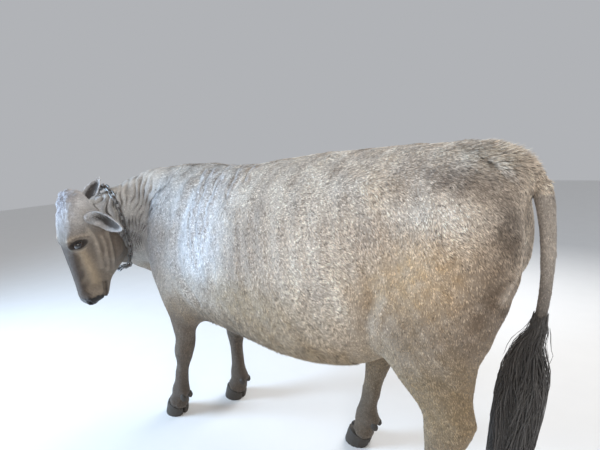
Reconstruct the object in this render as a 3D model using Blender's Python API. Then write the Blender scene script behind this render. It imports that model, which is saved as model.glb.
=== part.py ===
"""A dehorned grey bull, life size, standing still with its head hung and turned to its left.

Metres, +Z up. The animal looks along -Y, its left side is +X, and its feet stand on z = 0.
Its flesh is lofted from named stations, fused and smoothed as one body, and then parted by thin
cuts into the pieces that a person would name.
"""
import math
import random

import bmesh
import bpy
from mathutils import Matrix, Vector
from mathutils.bvhtree import BVHTree

GAP = 0.0003
DETAIL = 0.405

# Withers height, and the lengths that the stations below are laid out along

# Trunk stations: y, top z, bottom z, half width
TRUNK = (
    (-0.93, 1.10, 0.74, 0.10),
    (-0.90, 1.20, 0.66, 0.17),
    (-0.82, 1.315, 0.59, 0.235),
    (-0.70, 1.372, 0.555, 0.275),
    (-0.58, 1.385, 0.555, 0.300),
    (-0.42, 1.370, 0.565, 0.315),
    (-0.22, 1.376, 0.560, 0.345),
    (0.00, 1.398, 0.552, 0.375),
    (0.20, 1.412, 0.565, 0.380),
    (0.36, 1.420, 0.610, 0.355),
    (0.50, 1.424, 0.690, 0.315),
    (0.64, 1.420, 0.790, 0.275),
    (0.76, 1.400, 1.000, 0.200),
    (0.825, 1.335, 1.190, 0.100),
)
TAIL_ROOT_STATIONS = 5
TAIL_CLEARANCE = 0.006


# Neck stations: x, y, z of the centre, half width, rise above it, drop below it
NECK = (
    (0.00, -0.56, 1.08, 0.22, 0.295, 0.30),
    (0.01, -0.72, 1.09, 0.205, 0.300, 0.36),
    (0.05, -0.86, 1.11, 0.175, 0.275, 0.34),
    (0.14, -0.965, 1.13, 0.150, 0.235, 0.27),
    (0.27, -1.00, 1.140, 0.135, 0.155, 0.250),
    (0.37, -0.990, 1.130, 0.124, 0.120, 0.240),
    (0.46, -0.980, 1.120, 0.105, 0.100, 0.210),
)

# Head frame: where the poll is, and the ways that its nose, left side and forehead point
POLL = Vector((0.608, -0.967, 1.286))
NOSE_WAY = Vector((-0.068, 0.020, -0.997))
FOREHEAD_WAY = Vector((0.979, -0.180, -0.075))

# Head stations: distance from the poll down the nose, forehead, underside, half width, jaw taper
HEAD = (
    (-0.006, -0.090, -0.120, 0.035, 0.2),
    (0.014, -0.072, -0.140, 0.078, 0.2),
    (0.050, -0.044, -0.165, 0.096, 0.3),
    (0.105, -0.017, -0.190, 0.108, 0.4),
    (0.170, -0.002, -0.230, 0.114, 0.45),
    (0.235, -0.002, -0.265, 0.108, 0.5),
    (0.300, -0.006, -0.290, 0.092, 0.45),
    (0.355, -0.010, -0.285, 0.078, 0.4),
    (0.405, -0.014, -0.240, 0.065, 0.3),
    (0.450, -0.018, -0.185, 0.062, 0.2),
    (0.490, -0.018, -0.165, 0.070, 0.1),
    (0.525, -0.026, -0.152, 0.073, 0.1),
    (0.550, -0.044, -0.140, 0.062, 0.1),
    (0.565, -0.075, -0.118, 0.032, 0.1),
)
EYE_AT = Vector((0.1045, 0.236, -0.050))
EYE_RADIUS = 0.0215
LID_THICKNESS = 0.0062
LID_OPENING = 27
MOUTH_HEIGHT = -0.128
MOUTH_CORNER = 0.462
MOUTH_STEPS = 9
LIP_RADIUS = 0.0075
MOUTH_GROOVE = 0.0050
EAR_ROOT = Vector((0.100, 0.118, -0.118))
EAR_LENGTH = 0.205
EAR_WIDTH = 0.096

# Leg stations: x, y, z, half width across, half width fore and aft
FORELEG_LEFT = (
    (0.196, -0.803, -0.030, 0.056, 0.064),
    (0.196, -0.795, 0.085, 0.047, 0.054),
    (0.195, -0.782, 0.115, 0.042, 0.048),
    (0.194, -0.764, 0.160, 0.047, 0.056),
    (0.193, -0.748, 0.215, 0.037, 0.044),
    (0.191, -0.712, 0.330, 0.038, 0.043),
    (0.190, -0.697, 0.385, 0.049, 0.055),
    (0.190, -0.686, 0.430, 0.053, 0.060),
    (0.190, -0.672, 0.485, 0.049, 0.060),
    (0.194, -0.652, 0.570, 0.062, 0.082),
    (0.202, -0.630, 0.660, 0.082, 0.122),
    (0.210, -0.610, 0.760, 0.100, 0.172),
    (0.205, -0.630, 0.880, 0.112, 0.190),
    (0.180, -0.655, 1.020, 0.115, 0.170),
    (0.125, -0.640, 1.180, 0.095, 0.130),
)
FORELEG_RIGHT = (
    (-0.085, -0.620, -0.030, 0.056, 0.064),
    (-0.085, -0.612, 0.085, 0.047, 0.054),
    (-0.086, -0.602, 0.115, 0.042, 0.048),
    (-0.088, -0.592, 0.160, 0.047, 0.056),
    (-0.092, -0.594, 0.215, 0.037, 0.044),
    (-0.102, -0.606, 0.330, 0.038, 0.043),
    (-0.108, -0.612, 0.385, 0.049, 0.055),
    (-0.113, -0.616, 0.430, 0.053, 0.060),
    (-0.122, -0.618, 0.485, 0.049, 0.060),
    (-0.140, -0.620, 0.570, 0.062, 0.082),
    (-0.165, -0.620, 0.660, 0.082, 0.122),
    (-0.195, -0.620, 0.760, 0.100, 0.172),
    (-0.205, -0.640, 0.880, 0.112, 0.190),
    (-0.180, -0.660, 1.020, 0.115, 0.170),
    (-0.125, -0.640, 1.180, 0.095, 0.130),
)
HINDLEG_LEFT = (
    (0.190, 0.600, -0.030, 0.058, 0.067),
    (0.190, 0.608, 0.085, 0.049, 0.058),
    (0.190, 0.618, 0.115, 0.043, 0.052),
    (0.190, 0.630, 0.160, 0.049, 0.060),
    (0.191, 0.634, 0.220, 0.040, 0.048),
    (0.194, 0.640, 0.340, 0.041, 0.050),
    (0.197, 0.648, 0.430, 0.046, 0.062),
    (0.200, 0.662, 0.500, 0.053, 0.078),
    (0.200, 0.668, 0.560, 0.053, 0.088),
    (0.202, 0.634, 0.640, 0.064, 0.116),
    (0.210, 0.612, 0.730, 0.090, 0.146),
    (0.216, 0.600, 0.830, 0.112, 0.185),
    (0.204, 0.605, 0.950, 0.130, 0.225),
    (0.175, 0.625, 1.090, 0.135, 0.225),
    (0.130, 0.640, 1.240, 0.120, 0.180),
)
HINDLEG_RIGHT = (
    (-0.150, 0.165, -0.030, 0.058, 0.067),
    (-0.150, 0.174, 0.085, 0.049, 0.058),
    (-0.150, 0.186, 0.115, 0.043, 0.052),
    (-0.151, 0.201, 0.160, 0.049, 0.060),
    (-0.153, 0.212, 0.220, 0.040, 0.048),
    (-0.160, 0.236, 0.340, 0.041, 0.050),
    (-0.166, 0.256, 0.430, 0.046, 0.062),
    (-0.172, 0.276, 0.500, 0.053, 0.078),
    (-0.176, 0.292, 0.560, 0.053, 0.088),
    (-0.188, 0.312, 0.640, 0.062, 0.106),
    (-0.206, 0.358, 0.730, 0.088, 0.142),
    (-0.216, 0.440, 0.830, 0.112, 0.200),
    (-0.204, 0.540, 0.950, 0.130, 0.235),
    (-0.175, 0.605, 1.090, 0.135, 0.225),
    (-0.130, 0.640, 1.240, 0.120, 0.180),
)
LEGS = {
    "foreleg_left": FORELEG_LEFT,
    "foreleg_right": FORELEG_RIGHT,
    "hindleg_left": HINDLEG_LEFT,
    "hindleg_right": HINDLEG_RIGHT,
}
# Where each leg's joint below the knee or hock is cut, and the dome that parts it from the trunk:
# centre x, y, z of the dome, then its half widths
LOWER_CUT = {"foreleg": 0.455, "hindleg": 0.600}
LEG_DOMES = {
    "foreleg_left": (0.215, -0.690, 0.80, 0.150, 0.205, 0.190),
    "foreleg_right": (-0.185, -0.635, 0.80, 0.160, 0.190, 0.190),
    "hindleg_left": (0.215, 0.600, 0.92, 0.190, 0.280, 0.230),
    "hindleg_right": (-0.215, 0.420, 0.92, 0.190, 0.380, 0.230),
}

# Tail stations: x, y, z of the centre, radius
TAIL = (
    (0.00, 0.64, 1.370, 0.060),
    (0.00, 0.735, 1.372, 0.052),
    (0.00, 0.810, 1.345, 0.044),
    (0.00, 0.862, 1.285, 0.036),
    (0.02, 0.883, 1.195, 0.028),
    (0.03, 0.894, 1.085, 0.0245),
    (0.03, 0.893, 0.960, 0.021),
    (0.03, 0.880, 0.840, 0.020),
    (0.03, 0.864, 0.740, 0.019),
    (0.03, 0.852, 0.680, 0.016),
)
TAIL_CUTS = {"tail_lower": 1.020, "tail_upper": 1.262}
SWITCH_TOP_Z = 0.795
SWITCH_LOCKS = 6
# Rows of locks: height of the roots, length, how far the tips stand out
SWITCH_ROWS = ((0.755, 0.24, 0.045), (0.70, 0.28, 0.056), (0.62, 0.30, 0.058), (0.52, 0.27, 0.045))

HOOF_HEIGHT = 0.064
HOOF_LENGTH = 0.120
HOOF_WIDTH = 0.046
HOOF_SPLIT = 0.010
HOOF_LEAN = 0.020
HOOF_BACK_SET = 0.004
CORONET_SLOPE = 0.36

CHAIN_LINK_LENGTH = 0.050
CHAIN_LINK_WIDTH = 0.030
CHAIN_WIRE_RADIUS = 0.0042
LINK_BENDS = 6


def head_matrix():
    """The head's frame: x to its left, y down the nose, z out of the forehead."""
    nose = NOSE_WAY.normalized()
    out = (FOREHEAD_WAY - nose * FOREHEAD_WAY.dot(nose)).normalized()
    left = out.cross(nose)
    turned = Matrix((left, nose, out)).transposed().to_4x4()
    return Matrix.Translation(POLL) @ turned


HEAD_FRAME = head_matrix()


def clear_scene():
    for thing in list(bpy.data.objects):
        bpy.data.objects.remove(thing)


def finish(name, colour, roughness, metallic=0.0):
    material = bpy.data.materials.new(name)
    material.use_nodes = True
    shader = material.node_tree.nodes["Principled BSDF"]
    shader.inputs["Base Color"].default_value = (*colour, 1)
    shader.inputs["Roughness"].default_value = roughness
    shader.inputs["Metallic"].default_value = metallic
    return material


def object_from(name, mesh_build):
    mesh = bpy.data.meshes.new(name)
    mesh_build.to_mesh(mesh)
    mesh_build.free()
    thing = bpy.data.objects.new(name, mesh)
    bpy.context.collection.objects.link(thing)
    return thing


def between(stations, steps):
    """The stations with steps more rows eased in between each pair, on one smooth curve."""
    rows = []
    last = len(stations) - 1
    for index in range(last):
        rings = [stations[min(max(index + shift, 0), last)] for shift in (-1, 0, 1, 2)]
        for step in range(steps):
            t = step / steps
            row = []
            for a, b, c, d in zip(*rings):
                row.append(0.5 * (2 * b + (c - a) * t + (2 * a - 5 * b + 4 * c - d) * t ** 2
                                  + (3 * b - a - 3 * c + d) * t ** 3))
            rows.append(tuple(row))
    rows.append(tuple(stations[-1]))
    return rows


def ring(build, sides, place):
    """One closed ring of edges, each point put where place(across, up) says."""
    made = bmesh.ops.create_circle(build, segments=sides, radius=1.0, cap_ends=False)
    for vert in made["verts"]:
        vert.co = place(vert.co.x, vert.co.y)
    return list({edge for vert in made["verts"] for edge in vert.link_edges})


def loft(name, places, sides):
    """A closed body through one ring for each entry of places."""
    build = bmesh.new()
    rings = [ring(build, sides, place) for place in places]
    for lower, upper in zip(rings, rings[1:]):
        bmesh.ops.bridge_loops(build, edges=lower + upper)
    bmesh.ops.holes_fill(build, edges=rings[0] + rings[-1], sides=0)
    bmesh.ops.triangulate(build, faces=build.faces[:])
    bmesh.ops.recalc_face_normals(build, faces=build.faces[:])
    return object_from(name, build)


def ball(name, centre, radii, frame=None, subdivisions=3):
    build = bmesh.new()
    bmesh.ops.create_icosphere(build, subdivisions=subdivisions, radius=1.0)
    for vert in build.verts:
        vert.co = Vector(centre) + Vector([a * b for a, b in zip(vert.co, radii)])
    if frame is not None:
        build.transform(frame)
        if frame.determinant() < 0:
            bmesh.ops.reverse_faces(build, faces=build.faces[:])
    return object_from(name, build)


def block(name, centre, size, frame=None):
    build = bmesh.new()
    bmesh.ops.create_cube(build, size=1.0)
    for vert in build.verts:
        vert.co = Vector(centre) + Vector([a * b for a, b in zip(vert.co, size)])
    if frame is not None:
        build.transform(frame)
        if frame.determinant() < 0:
            bmesh.ops.reverse_faces(build, faces=build.faces[:])
    return object_from(name, build)


def settle(thing):
    """Applies the modifiers of an object."""
    graph = bpy.context.evaluated_depsgraph_get()
    mesh = bpy.data.meshes.new_from_object(thing.evaluated_get(graph))
    thing.modifiers.clear()
    thing.data = mesh
    return thing


def boolean(thing, others, operation):
    """Joins, cuts or crosses an object with others, which are used up."""
    group = bpy.data.collections.new("operands")
    for other in others:
        group.objects.link(other)
    modifier = thing.modifiers.new(operation.lower(), "BOOLEAN")
    modifier.operation = operation
    modifier.operand_type = "COLLECTION"
    modifier.collection = group
    modifier.solver = "MANIFOLD"
    settle(thing)
    for other in others:
        bpy.data.objects.remove(other)
    bpy.data.collections.remove(group)
    return thing


def copy_of(thing, name):
    twin = thing.copy()
    twin.data = thing.data.copy()
    twin.name = name
    bpy.context.collection.objects.link(twin)
    return twin


def largest_body(thing):
    """Keeps the largest closed surface of a mesh, and drops what a cut left loose."""
    build = bmesh.new()
    build.from_mesh(thing.data)
    build.verts.ensure_lookup_table()
    seen = set()
    islands = []
    for start in build.verts:
        if start in seen:
            continue
        island = [start]
        seen.add(start)
        for vert in island:
            for edge in vert.link_edges:
                other = edge.other_vert(vert)
                if other not in seen:
                    seen.add(other)
                    island.append(other)
        islands.append(island)
    islands.sort(key=len, reverse=True)
    for island in islands[1:]:
        bmesh.ops.delete(build, geom=island, context="VERTS")
    build.to_mesh(thing.data)
    build.free()
    return thing


def fused(name, pieces, voxel, rounds, triangles):
    """One smooth body from overlapping pieces, thinned to a number of triangles."""
    whole = pieces[0]
    whole.name = name
    if len(pieces) > 1:
        boolean(whole, pieces[1:], "UNION")
    remesh = whole.modifiers.new("remesh", "REMESH")
    remesh.mode = "VOXEL"
    remesh.voxel_size = voxel
    soften = whole.modifiers.new("soften", "SMOOTH")
    soften.factor = 0.5
    soften.iterations = rounds
    settle(whole)
    largest_body(whole)
    count = sum(len(face.vertices) - 2 for face in whole.data.polygons)
    thin = whole.modifiers.new("thin", "DECIMATE")
    thin.ratio = min(1.0, triangles / count)
    return settle(whole)


def trunk_pieces():
    def station(y, top, bottom, half_width):
        middle = bottom + 0.46 * (top - bottom)

        def place(across, up):
            side = math.copysign(abs(across) ** 0.86, across) * half_width
            rise = (top - middle) * abs(up) ** 0.92 if up > 0 else -(middle - bottom) * abs(up) ** 0.84
            return Vector((side, y, middle + rise))
        return place

    trunk = loft("trunk", [station(*row) for row in between(TRUNK, 3)], 28)
    pieces = [trunk]
    for side in (1, -1):
        pieces += [
            ball("shoulder", (side * 0.155, -0.66, 1.03), (0.150, 0.190, 0.270)),
            ball("point_of_shoulder", (side * 0.145, -0.80, 0.93), (0.110, 0.110, 0.150)),
            ball("hip", (side * 0.190, 0.41, 1.275), (0.130, 0.150, 0.080)),
            ball("thigh", (side * 0.150, 0.62, 1.08), (0.165, 0.230, 0.270)),
            ball("buttock", (side * 0.114, 0.739, 1.13), (0.098, 0.111, 0.220)),
            ball("pin", (side * 0.096, 0.782, 1.300), (0.064, 0.068, 0.058)),
        ]
    pieces.append(ball("brisket", (0.0, -0.83, 0.74), (0.130, 0.140, 0.150)))
    pieces.append(ball("sheath", (0.0, 0.10, 0.565), (0.050, 0.160, 0.070)))
    return pieces


def neck_pieces():
    rows = between(NECK, 3)
    places = []
    for index, (x, y, z, half_width, rise, drop) in enumerate(rows):
        before = Vector(rows[max(index - 1, 0)][:3])
        after = Vector(rows[min(index + 1, len(rows) - 1)][:3])
        along = (after - before).normalized()
        across_way = along.cross(Vector((0, 0, 1))).normalized()
        up_way = across_way.cross(along)

        def place(across, up, centre=Vector((x, y, z)), w=half_width, r=rise, d=drop,
                  side=across_way, top=up_way):
            return centre + side * (w * across) + top * ((r if up > 0 else d) * up)
        places.append(place)
    neck = loft("neck", places, 24)
    return [neck, dewlap()]


DEWLAP = (
    # x, y, z of the centre, half thickness, half depth
    (0.40, -1.000, 0.985, 0.020, 0.035),
    (0.34, -1.020, 0.950, 0.020, 0.050),
    (0.24, -1.030, 0.900, 0.022, 0.065),
    (0.12, -0.985, 0.825, 0.026, 0.085),
    (0.04, -0.900, 0.720, 0.034, 0.110),
    (0.00, -0.780, 0.650, 0.040, 0.090),
    (0.00, -0.660, 0.600, 0.030, 0.050),
)


def dewlap():
    rows = between(DEWLAP, 3)
    places = []
    for index, (x, y, z, thick, deep) in enumerate(rows):
        before = Vector(rows[max(index - 1, 0)][:3])
        after = Vector(rows[min(index + 1, len(rows) - 1)][:3])
        across_way = (after - before).cross(Vector((0, 0, 1))).normalized()

        def place(across, up, centre=Vector((x, y, z)), w=thick, d=deep, side=across_way):
            return centre + side * (w * across) + Vector((0, 0, d * up))
        places.append(place)
    return loft("dewlap", places, 12)


def head_pieces():
    def station(down, top, bottom, half_width, taper):
        middle = bottom + 0.62 * (top - bottom)

        def place(across, up):
            narrow = 1 - taper * max(0.0, -up)
            side = math.copysign(abs(across) ** 0.8, across) * half_width * narrow
            rise = (top - middle) * abs(up) ** 0.75 if up > 0 else -(middle - bottom) * abs(up) ** 0.9
            return HEAD_FRAME @ Vector((side, down, middle + rise))
        return place

    pieces = [loft("skull", [station(*row) for row in between(HEAD, 2)], 24)]
    pieces.append(ball("poll", (0, 0.038, -0.086), (0.078, 0.046, 0.052), HEAD_FRAME))
    pieces.append(ball("muzzle", (0, 0.515, -0.085), (0.075, 0.050, 0.066), HEAD_FRAME))
    for side in (1, -1):
        pieces += [
            ball("brow", (side * 0.086, 0.222, -0.034), (0.031, 0.050, 0.034), HEAD_FRAME),
            ball("cheek", (side * 0.060, 0.275, -0.170), (0.040, 0.100, 0.095), HEAD_FRAME),
            ball("horn_stub", (side * 0.080, 0.052, -0.062), (0.028, 0.026, 0.028), HEAD_FRAME),
            ball("ear_base", (side * 0.088, 0.116, -0.112), (0.034, 0.036, 0.036), HEAD_FRAME),
            ball("lip", (side * 0.045, 0.505, -0.120), (0.030, 0.050, 0.030), HEAD_FRAME),
        ]
    return pieces


def leg_piece(name, stations):
    def station(x, y, z, half_width, half_depth):
        def place(across, up):
            side = math.copysign(abs(across) ** 0.9, across) * half_width
            return Vector((x + side, y + half_depth * up, z))
        return place

    return loft(name, [station(*row) for row in between(stations, 2)], 16)


def fetlock_pieces(stations):
    """The two dewclaws behind a fetlock, and the point of the hock or the back of the knee."""
    x, y, z, half_width, half_depth = stations[3]
    pieces = []
    for side in (1, -1):
        centre = (x + side * 0.022, y + half_depth + 0.006, z - 0.018)
        pieces.append(ball("dewclaw", centre, (0.014, 0.018, 0.020), subdivisions=2))
    return pieces


def hock_piece(stations):
    x, y, z, half_width, half_depth = stations[8]
    return ball("point_of_hock", (x, y + half_depth * 0.72, z + 0.010), (0.024, 0.034, 0.046))


def tail_tube(name, stations):
    rows = between(stations, 3)
    places = []
    for index, (x, y, z, radius) in enumerate(rows):
        before = Vector(rows[max(index - 1, 0)][:3])
        after = Vector(rows[min(index + 1, len(rows) - 1)][:3])
        along = (after - before).normalized()
        side = Vector((1, 0, 0))
        top = along.cross(side).normalized()

        def place(across, up, centre=Vector((x, y, z)), r=radius, a=side, b=top):
            return centre + a * (r * across) + b * (r * up)
        places.append(place)
    return loft(name, places, 14)


def dome(name, centre, radii, grow):
    """A dome over a leg, whose wall runs straight down past the hoof."""
    x, y, z, half_width, half_depth, height = *centre, *radii
    places = []
    for degrees in range(80, -1, -16):
        turn = math.radians(degrees)
        reach = math.cos(turn)
        level = z + (height + grow) * math.sin(turn)
        places.append((reach, level))
    places.append((1.0, -0.2))

    def station(reach, level):
        def place(across, up):
            return Vector((x + (half_width + grow) * reach * across,
                           y + (half_depth + grow) * reach * up, level))
        return place

    return loft(name, [station(*row) for row in places], 20)


def parted(whole, name, cutter_of):
    """Takes from whole what lies inside a cutter, and leaves a gap round it."""
    piece = copy_of(whole, name)
    boolean(piece, [cutter_of(0.0)], "INTERSECT")
    boolean(whole, [cutter_of(GAP)], "DIFFERENCE")
    largest_body(whole)
    return largest_body(piece)


def cleared(piece, others):
    """Cuts a piece back to a gap from what it meets."""
    for other in others:
        swollen = copy_of(other, "swollen")
        swell = swollen.modifiers.new("swell", "DISPLACE")
        swell.strength = 1.5 * GAP
        swell.mid_level = 0.0
        settle(swollen)
        boolean(piece, [swollen], "DIFFERENCE")
    return largest_body(piece)


def half_space(name, point, way, size, grow):
    """A block whose face passes through point and looks back along way."""
    way = Vector(way).normalized()
    turned = way.to_track_quat("Z", "Y").to_matrix().to_4x4()
    frame = Matrix.Translation(Vector(point) - way * grow) @ turned
    return block(name, (0, 0, size[2] / 2), size, frame)


def claw(name, x, y, side):
    """One claw of a cloven hoof: flat below, and straight on the side that faces its twin."""
    rows = ((0.0, 1.0), (0.012, 1.02), (0.040, 0.98), (HOOF_HEIGHT, 0.90))

    def station(level, scale):
        share = level / HOOF_HEIGHT
        middle = y - HOOF_LEAN * (1 - share) + HOOF_BACK_SET
        inner = side * HOOF_SPLIT / 2

        def place(across, up):
            reach = (max(across, -0.12) + 0.12) * HOOF_WIDTH * scale
            forward = HOOF_LENGTH / 2 * up * scale
            return Vector((x + inner + side * reach, middle - forward,
                           level + share * share * CORONET_SLOPE * forward))
        return place

    return loft(name, [station(*row) for row in rows], 16)


def ear(name, side, way, opening):
    """A cupped ear with walls 5 mm thick, from a fleshy root to a rounded tip."""
    along = Vector(way).normalized()
    face = Vector(opening)
    face = (face - along * face.dot(along)).normalized()
    across_way = along.cross(face)
    root = HEAD_FRAME @ Vector((side * EAR_ROOT.x, EAR_ROOT.y, EAR_ROOT.z))
    # Along the ear, half width, depth of the cup
    rows = ((0.00, 0.026, 0.030), (0.10, 0.031, 0.034), (0.25, 0.043, 0.036), (0.45, 0.048, 0.034),
            (0.65, 0.044, 0.028), (0.82, 0.032, 0.020), (0.94, 0.017, 0.011), (1.0, 0.006, 0.005))
    wall = 0.0055

    def station(t, half_width, depth):
        centre = root + along * (t * EAR_LENGTH)
        hollow = 0.0 if t < 0.12 else 1.0

        def place(across, up):
            back = -depth * (1 - across ** 2)
            if up > 0 and hollow:
                back = -max(depth * (1 - across ** 2) - wall, 0.0) + wall * 0.5
            elif up > 0:
                back = depth * up
            return centre + across_way * (half_width * across) + face * back
        return place

    return loft(name, [station(*row) for row in rows], 18)


def bent_tube(name, points, radii, sides):
    """A closed tube through points, with a radius at each."""
    places = []
    for index, point in enumerate(points):
        before = points[max(index - 1, 0)]
        after = points[min(index + 1, len(points) - 1)]
        turned = (after - before).to_track_quat("Z", "Y").to_matrix()

        def place(across, up, centre=point, r=radii[index], frame=turned):
            return centre + frame @ Vector((r * across, r * up, 0))
        places.append(place)
    return loft(name, places, sides)


def lids(side):
    """The upper and lower lid of one eye, as two bent ridges that meet at its corners."""
    centre = Vector((side * EYE_AT.x, EYE_AT.y, EYE_AT.z))
    out = Vector((side * 0.95, 0.0, 0.31))
    reach = EYE_RADIUS + LID_THICKNESS * 0.4
    pieces = []
    for upper in (-1, 1):
        points = []
        radii = []
        for step in range(7):
            turn = math.radians(-78 + 26 * step)
            lift = math.radians(LID_OPENING) * math.cos(turn)
            front = out * math.cos(lift) + Vector((0, upper * math.sin(lift), 0))
            points.append(HEAD_FRAME @ (centre + front * (reach * math.cos(turn))
                                        + Vector((-side * 0.31, 0, 0.95)) * (reach * math.sin(turn))))
            radii.append(LID_THICKNESS * (0.55 + 0.45 * math.cos(turn)))
        pieces.append(bent_tube("lid", points, radii, 6))
    return pieces


def on_surface(piece, start, way):
    """Where a line from a point in the head meets the outside of a piece, both in the head's axes."""
    tree = BVHTree.FromPolygons([vert.co for vert in piece.data.vertices],
                                [tuple(face.vertices) for face in piece.data.polygons])
    inner = HEAD_FRAME @ Vector(start)
    ray = (HEAD_FRAME.to_3x3() @ Vector(way)).normalized()
    return tree.ray_cast(inner + ray * 0.3, -ray, 0.3)[0]


def mouth_line(head, lift, sink):
    """Points round the front of the muzzle from one corner of the mouth to the other."""
    points = []
    for step in range(MOUTH_STEPS):
        turn = math.radians(-96 + 192 * step / (MOUTH_STEPS - 1))
        height = MOUTH_HEIGHT + 0.016 * math.cos(turn) + lift
        way = Vector((math.sin(turn), math.cos(turn), 0))
        hit = on_surface(head, (0, MOUTH_CORNER, height), way)
        points.append(hit - (HEAD_FRAME.to_3x3() @ way).normalized() * sink)
    return points


def lips(head):
    """A full lip above and below the line of the mouth."""
    pieces = []
    for lift in (0.010, -0.011):
        points = mouth_line(head, lift, LIP_RADIUS * 0.55)
        middle = (MOUTH_STEPS - 1) / 2
        radii = [LIP_RADIUS * (1 - 0.5 * abs(step - middle) / middle) for step in range(MOUTH_STEPS)]
        pieces.append(bent_tube("lip_edge", points, radii, 5))
    return pieces


def nostril(head, side):
    """A slanting hollow at one side of the muzzle's end."""
    place = on_surface(head, (side * 0.012, 0.495, -0.090), (side * 0.52, 0.58, 0.60))
    frame = HEAD_FRAME.copy()
    frame.translation = place
    frame = frame @ Matrix.Rotation(side * math.radians(-48), 4, "Z")
    return ball("nostril", (0, 0, 0), (0.021, 0.010, 0.015), frame, subdivisions=2)


def eye(name, side, grow=0.0):
    centre = (side * EYE_AT.x, EYE_AT.y, EYE_AT.z)
    return ball(name, centre, (EYE_RADIUS + grow,) * 3, HEAD_FRAME, 2)


def lock(root, tip, bend, width, thick, facing):
    """A flat tapered lock from root to tip, bowed along bend."""
    build = bmesh.new()
    along = (tip - root)
    side = along.cross(facing).normalized()
    out = side.cross(along).normalized()
    rows = ((0.0, 1.0), (0.35, 0.95), (0.7, 0.65), (1.0, 0.12))
    rings = []
    for t, scale in rows:
        centre = root + along * t + bend * (4 * t * (1 - t))

        def place(across, up, c=centre, s=scale):
            return c + side * (width * s * across) + out * (thick * s * up)
        rings.append(ring(build, 5, place))
    for lower, upper in zip(rings, rings[1:]):
        bmesh.ops.bridge_loops(build, edges=lower + upper)
    bmesh.ops.holes_fill(build, edges=rings[0] + rings[-1], sides=0)
    bmesh.ops.triangulate(build, faces=build.faces[:])
    bmesh.ops.recalc_face_normals(build, faces=build.faces[:])
    return object_from("lock", build)


def tail_switch(tail):
    """The brush of long hair at the tail's end."""
    x, y, z = TAIL[-1][:3]
    draw = random.Random(7)
    core = tail_tube("tail_switch", (
        (x, y + 0.020, SWITCH_TOP_Z, 0.027), (x, y, 0.70, 0.036), (x, y - 0.012, 0.56, 0.038),
        (x, y - 0.030, 0.42, 0.020)))
    locks = []
    for row, (top, reach, spread) in enumerate(SWITCH_ROWS):
        for step in range(SWITCH_LOCKS):
            turn = 2 * math.pi * (step + 0.5 * (row % 2)) / SWITCH_LOCKS
            way = Vector((math.cos(turn), math.sin(turn), 0))
            root = Vector((x, y - 0.002, top)) + way * 0.022
            length = reach * draw.uniform(0.85, 1.1)
            tip = root + way * spread * draw.uniform(0.7, 1.2) + Vector((0, -0.03, -length))
            locks.append(lock(root, tip, way * 0.018, 0.024, 0.008, way))
    boolean(core, locks, "UNION")
    return cleared(core, [tail])


def link(centre, along, out, turn):
    """One link of the chain: a round wire bent to a long loop."""
    side = along.cross(out).normalized()
    flat = side if turn else out
    flat = (flat - along * flat.dot(along)).normalized()
    straight = (CHAIN_LINK_LENGTH - CHAIN_LINK_WIDTH) / 2
    bend = CHAIN_LINK_WIDTH / 2 - CHAIN_WIRE_RADIUS
    build = bmesh.new()
    rings = []
    normal = along.cross(flat)
    for step in range(LINK_BENDS):
        angle = 2 * math.pi * (step + 0.5) / LINK_BENDS
        shift = math.copysign(straight, math.cos(angle))
        middle = centre + along * (shift + bend * math.cos(angle)) + flat * (bend * math.sin(angle))
        radial = along * math.cos(angle) + flat * math.sin(angle)

        def place(across, up, c=middle, a=radial, b=normal):
            return c + (a * across + b * up) * CHAIN_WIRE_RADIUS
        rings.append(ring(build, 4, place))
    for lower, upper in zip(rings, rings[1:] + rings[:1]):
        bmesh.ops.bridge_loops(build, edges=lower + upper)
    bmesh.ops.triangulate(build, faces=build.faces[:])
    bmesh.ops.recalc_face_normals(build, faces=build.faces[:])
    return object_from("link", build)


COLLAR_CENTRE = Vector((0.322, -0.998, 1.120))
COLLAR_WAY = Vector((0.95, -0.14, -0.06))
COLLAR_REACH = 0.360


def collar(flesh):
    """The neck chain, lying on the neck just behind the jaw and a little slack at the throat."""
    way = COLLAR_WAY.normalized()
    up = (Vector((0, 0, 1)) - way * way.z).normalized()
    side = way.cross(up)
    trees = []
    for piece in flesh:
        build = bmesh.new()
        build.from_mesh(piece.data)
        trees.append(BVHTree.FromBMesh(build))
        build.free()
    reaches = []
    count = 72
    for step in range(count):
        turn = 2 * math.pi * step / count
        ray = up * math.cos(turn) + side * math.sin(turn)
        reach = 0.0
        for tree in trees:
            for shift in (-0.02, 0.0, 0.02):
                start = COLLAR_CENTRE + way * shift + ray * 0.5
                hit = tree.ray_cast(start, -ray, 0.5)
                if hit[0] is not None:
                    reach = max(reach, 0.5 - hit[3])
        reaches.append(min(reach, COLLAR_REACH))
    for _ in range(3):
        reaches = [max(value, (reaches[i - 1] + value + reaches[(i + 1) % count]) / 3)
                   for i, value in enumerate(reaches)]
    clear = CHAIN_LINK_WIDTH / 2 + 0.003
    loop = []
    for step, reach in enumerate(reaches):
        turn = 2 * math.pi * step / count
        ray = up * math.cos(turn) + side * math.sin(turn)
        slack = 0.014 * max(0.0, -math.cos(turn)) ** 2
        loop.append(COLLAR_CENTRE + ray * (reach + clear + slack))
    lengths = [(loop[(i + 1) % count] - loop[i]).length for i in range(count)]
    total = sum(lengths)
    links = int(round(total / (CHAIN_LINK_LENGTH - 2.6 * CHAIN_WIRE_RADIUS) / 2)) * 2
    pieces = []
    for number in range(links):
        distance = total * number / links
        index = 0
        while distance > lengths[index]:
            distance -= lengths[index]
            index += 1
        start, stop = loop[index], loop[(index + 1) % count]
        centre = start.lerp(stop, distance / lengths[index])
        along = (loop[(index + 2) % count] - loop[index - 1]).normalized()
        pieces.append(link(centre, along, centre - COLLAR_CENTRE, number % 2))
    chain = pieces[0]
    chain.name = "neck_chain"
    boolean(chain, pieces[1:], "UNION")
    return largest_body(chain)


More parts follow.
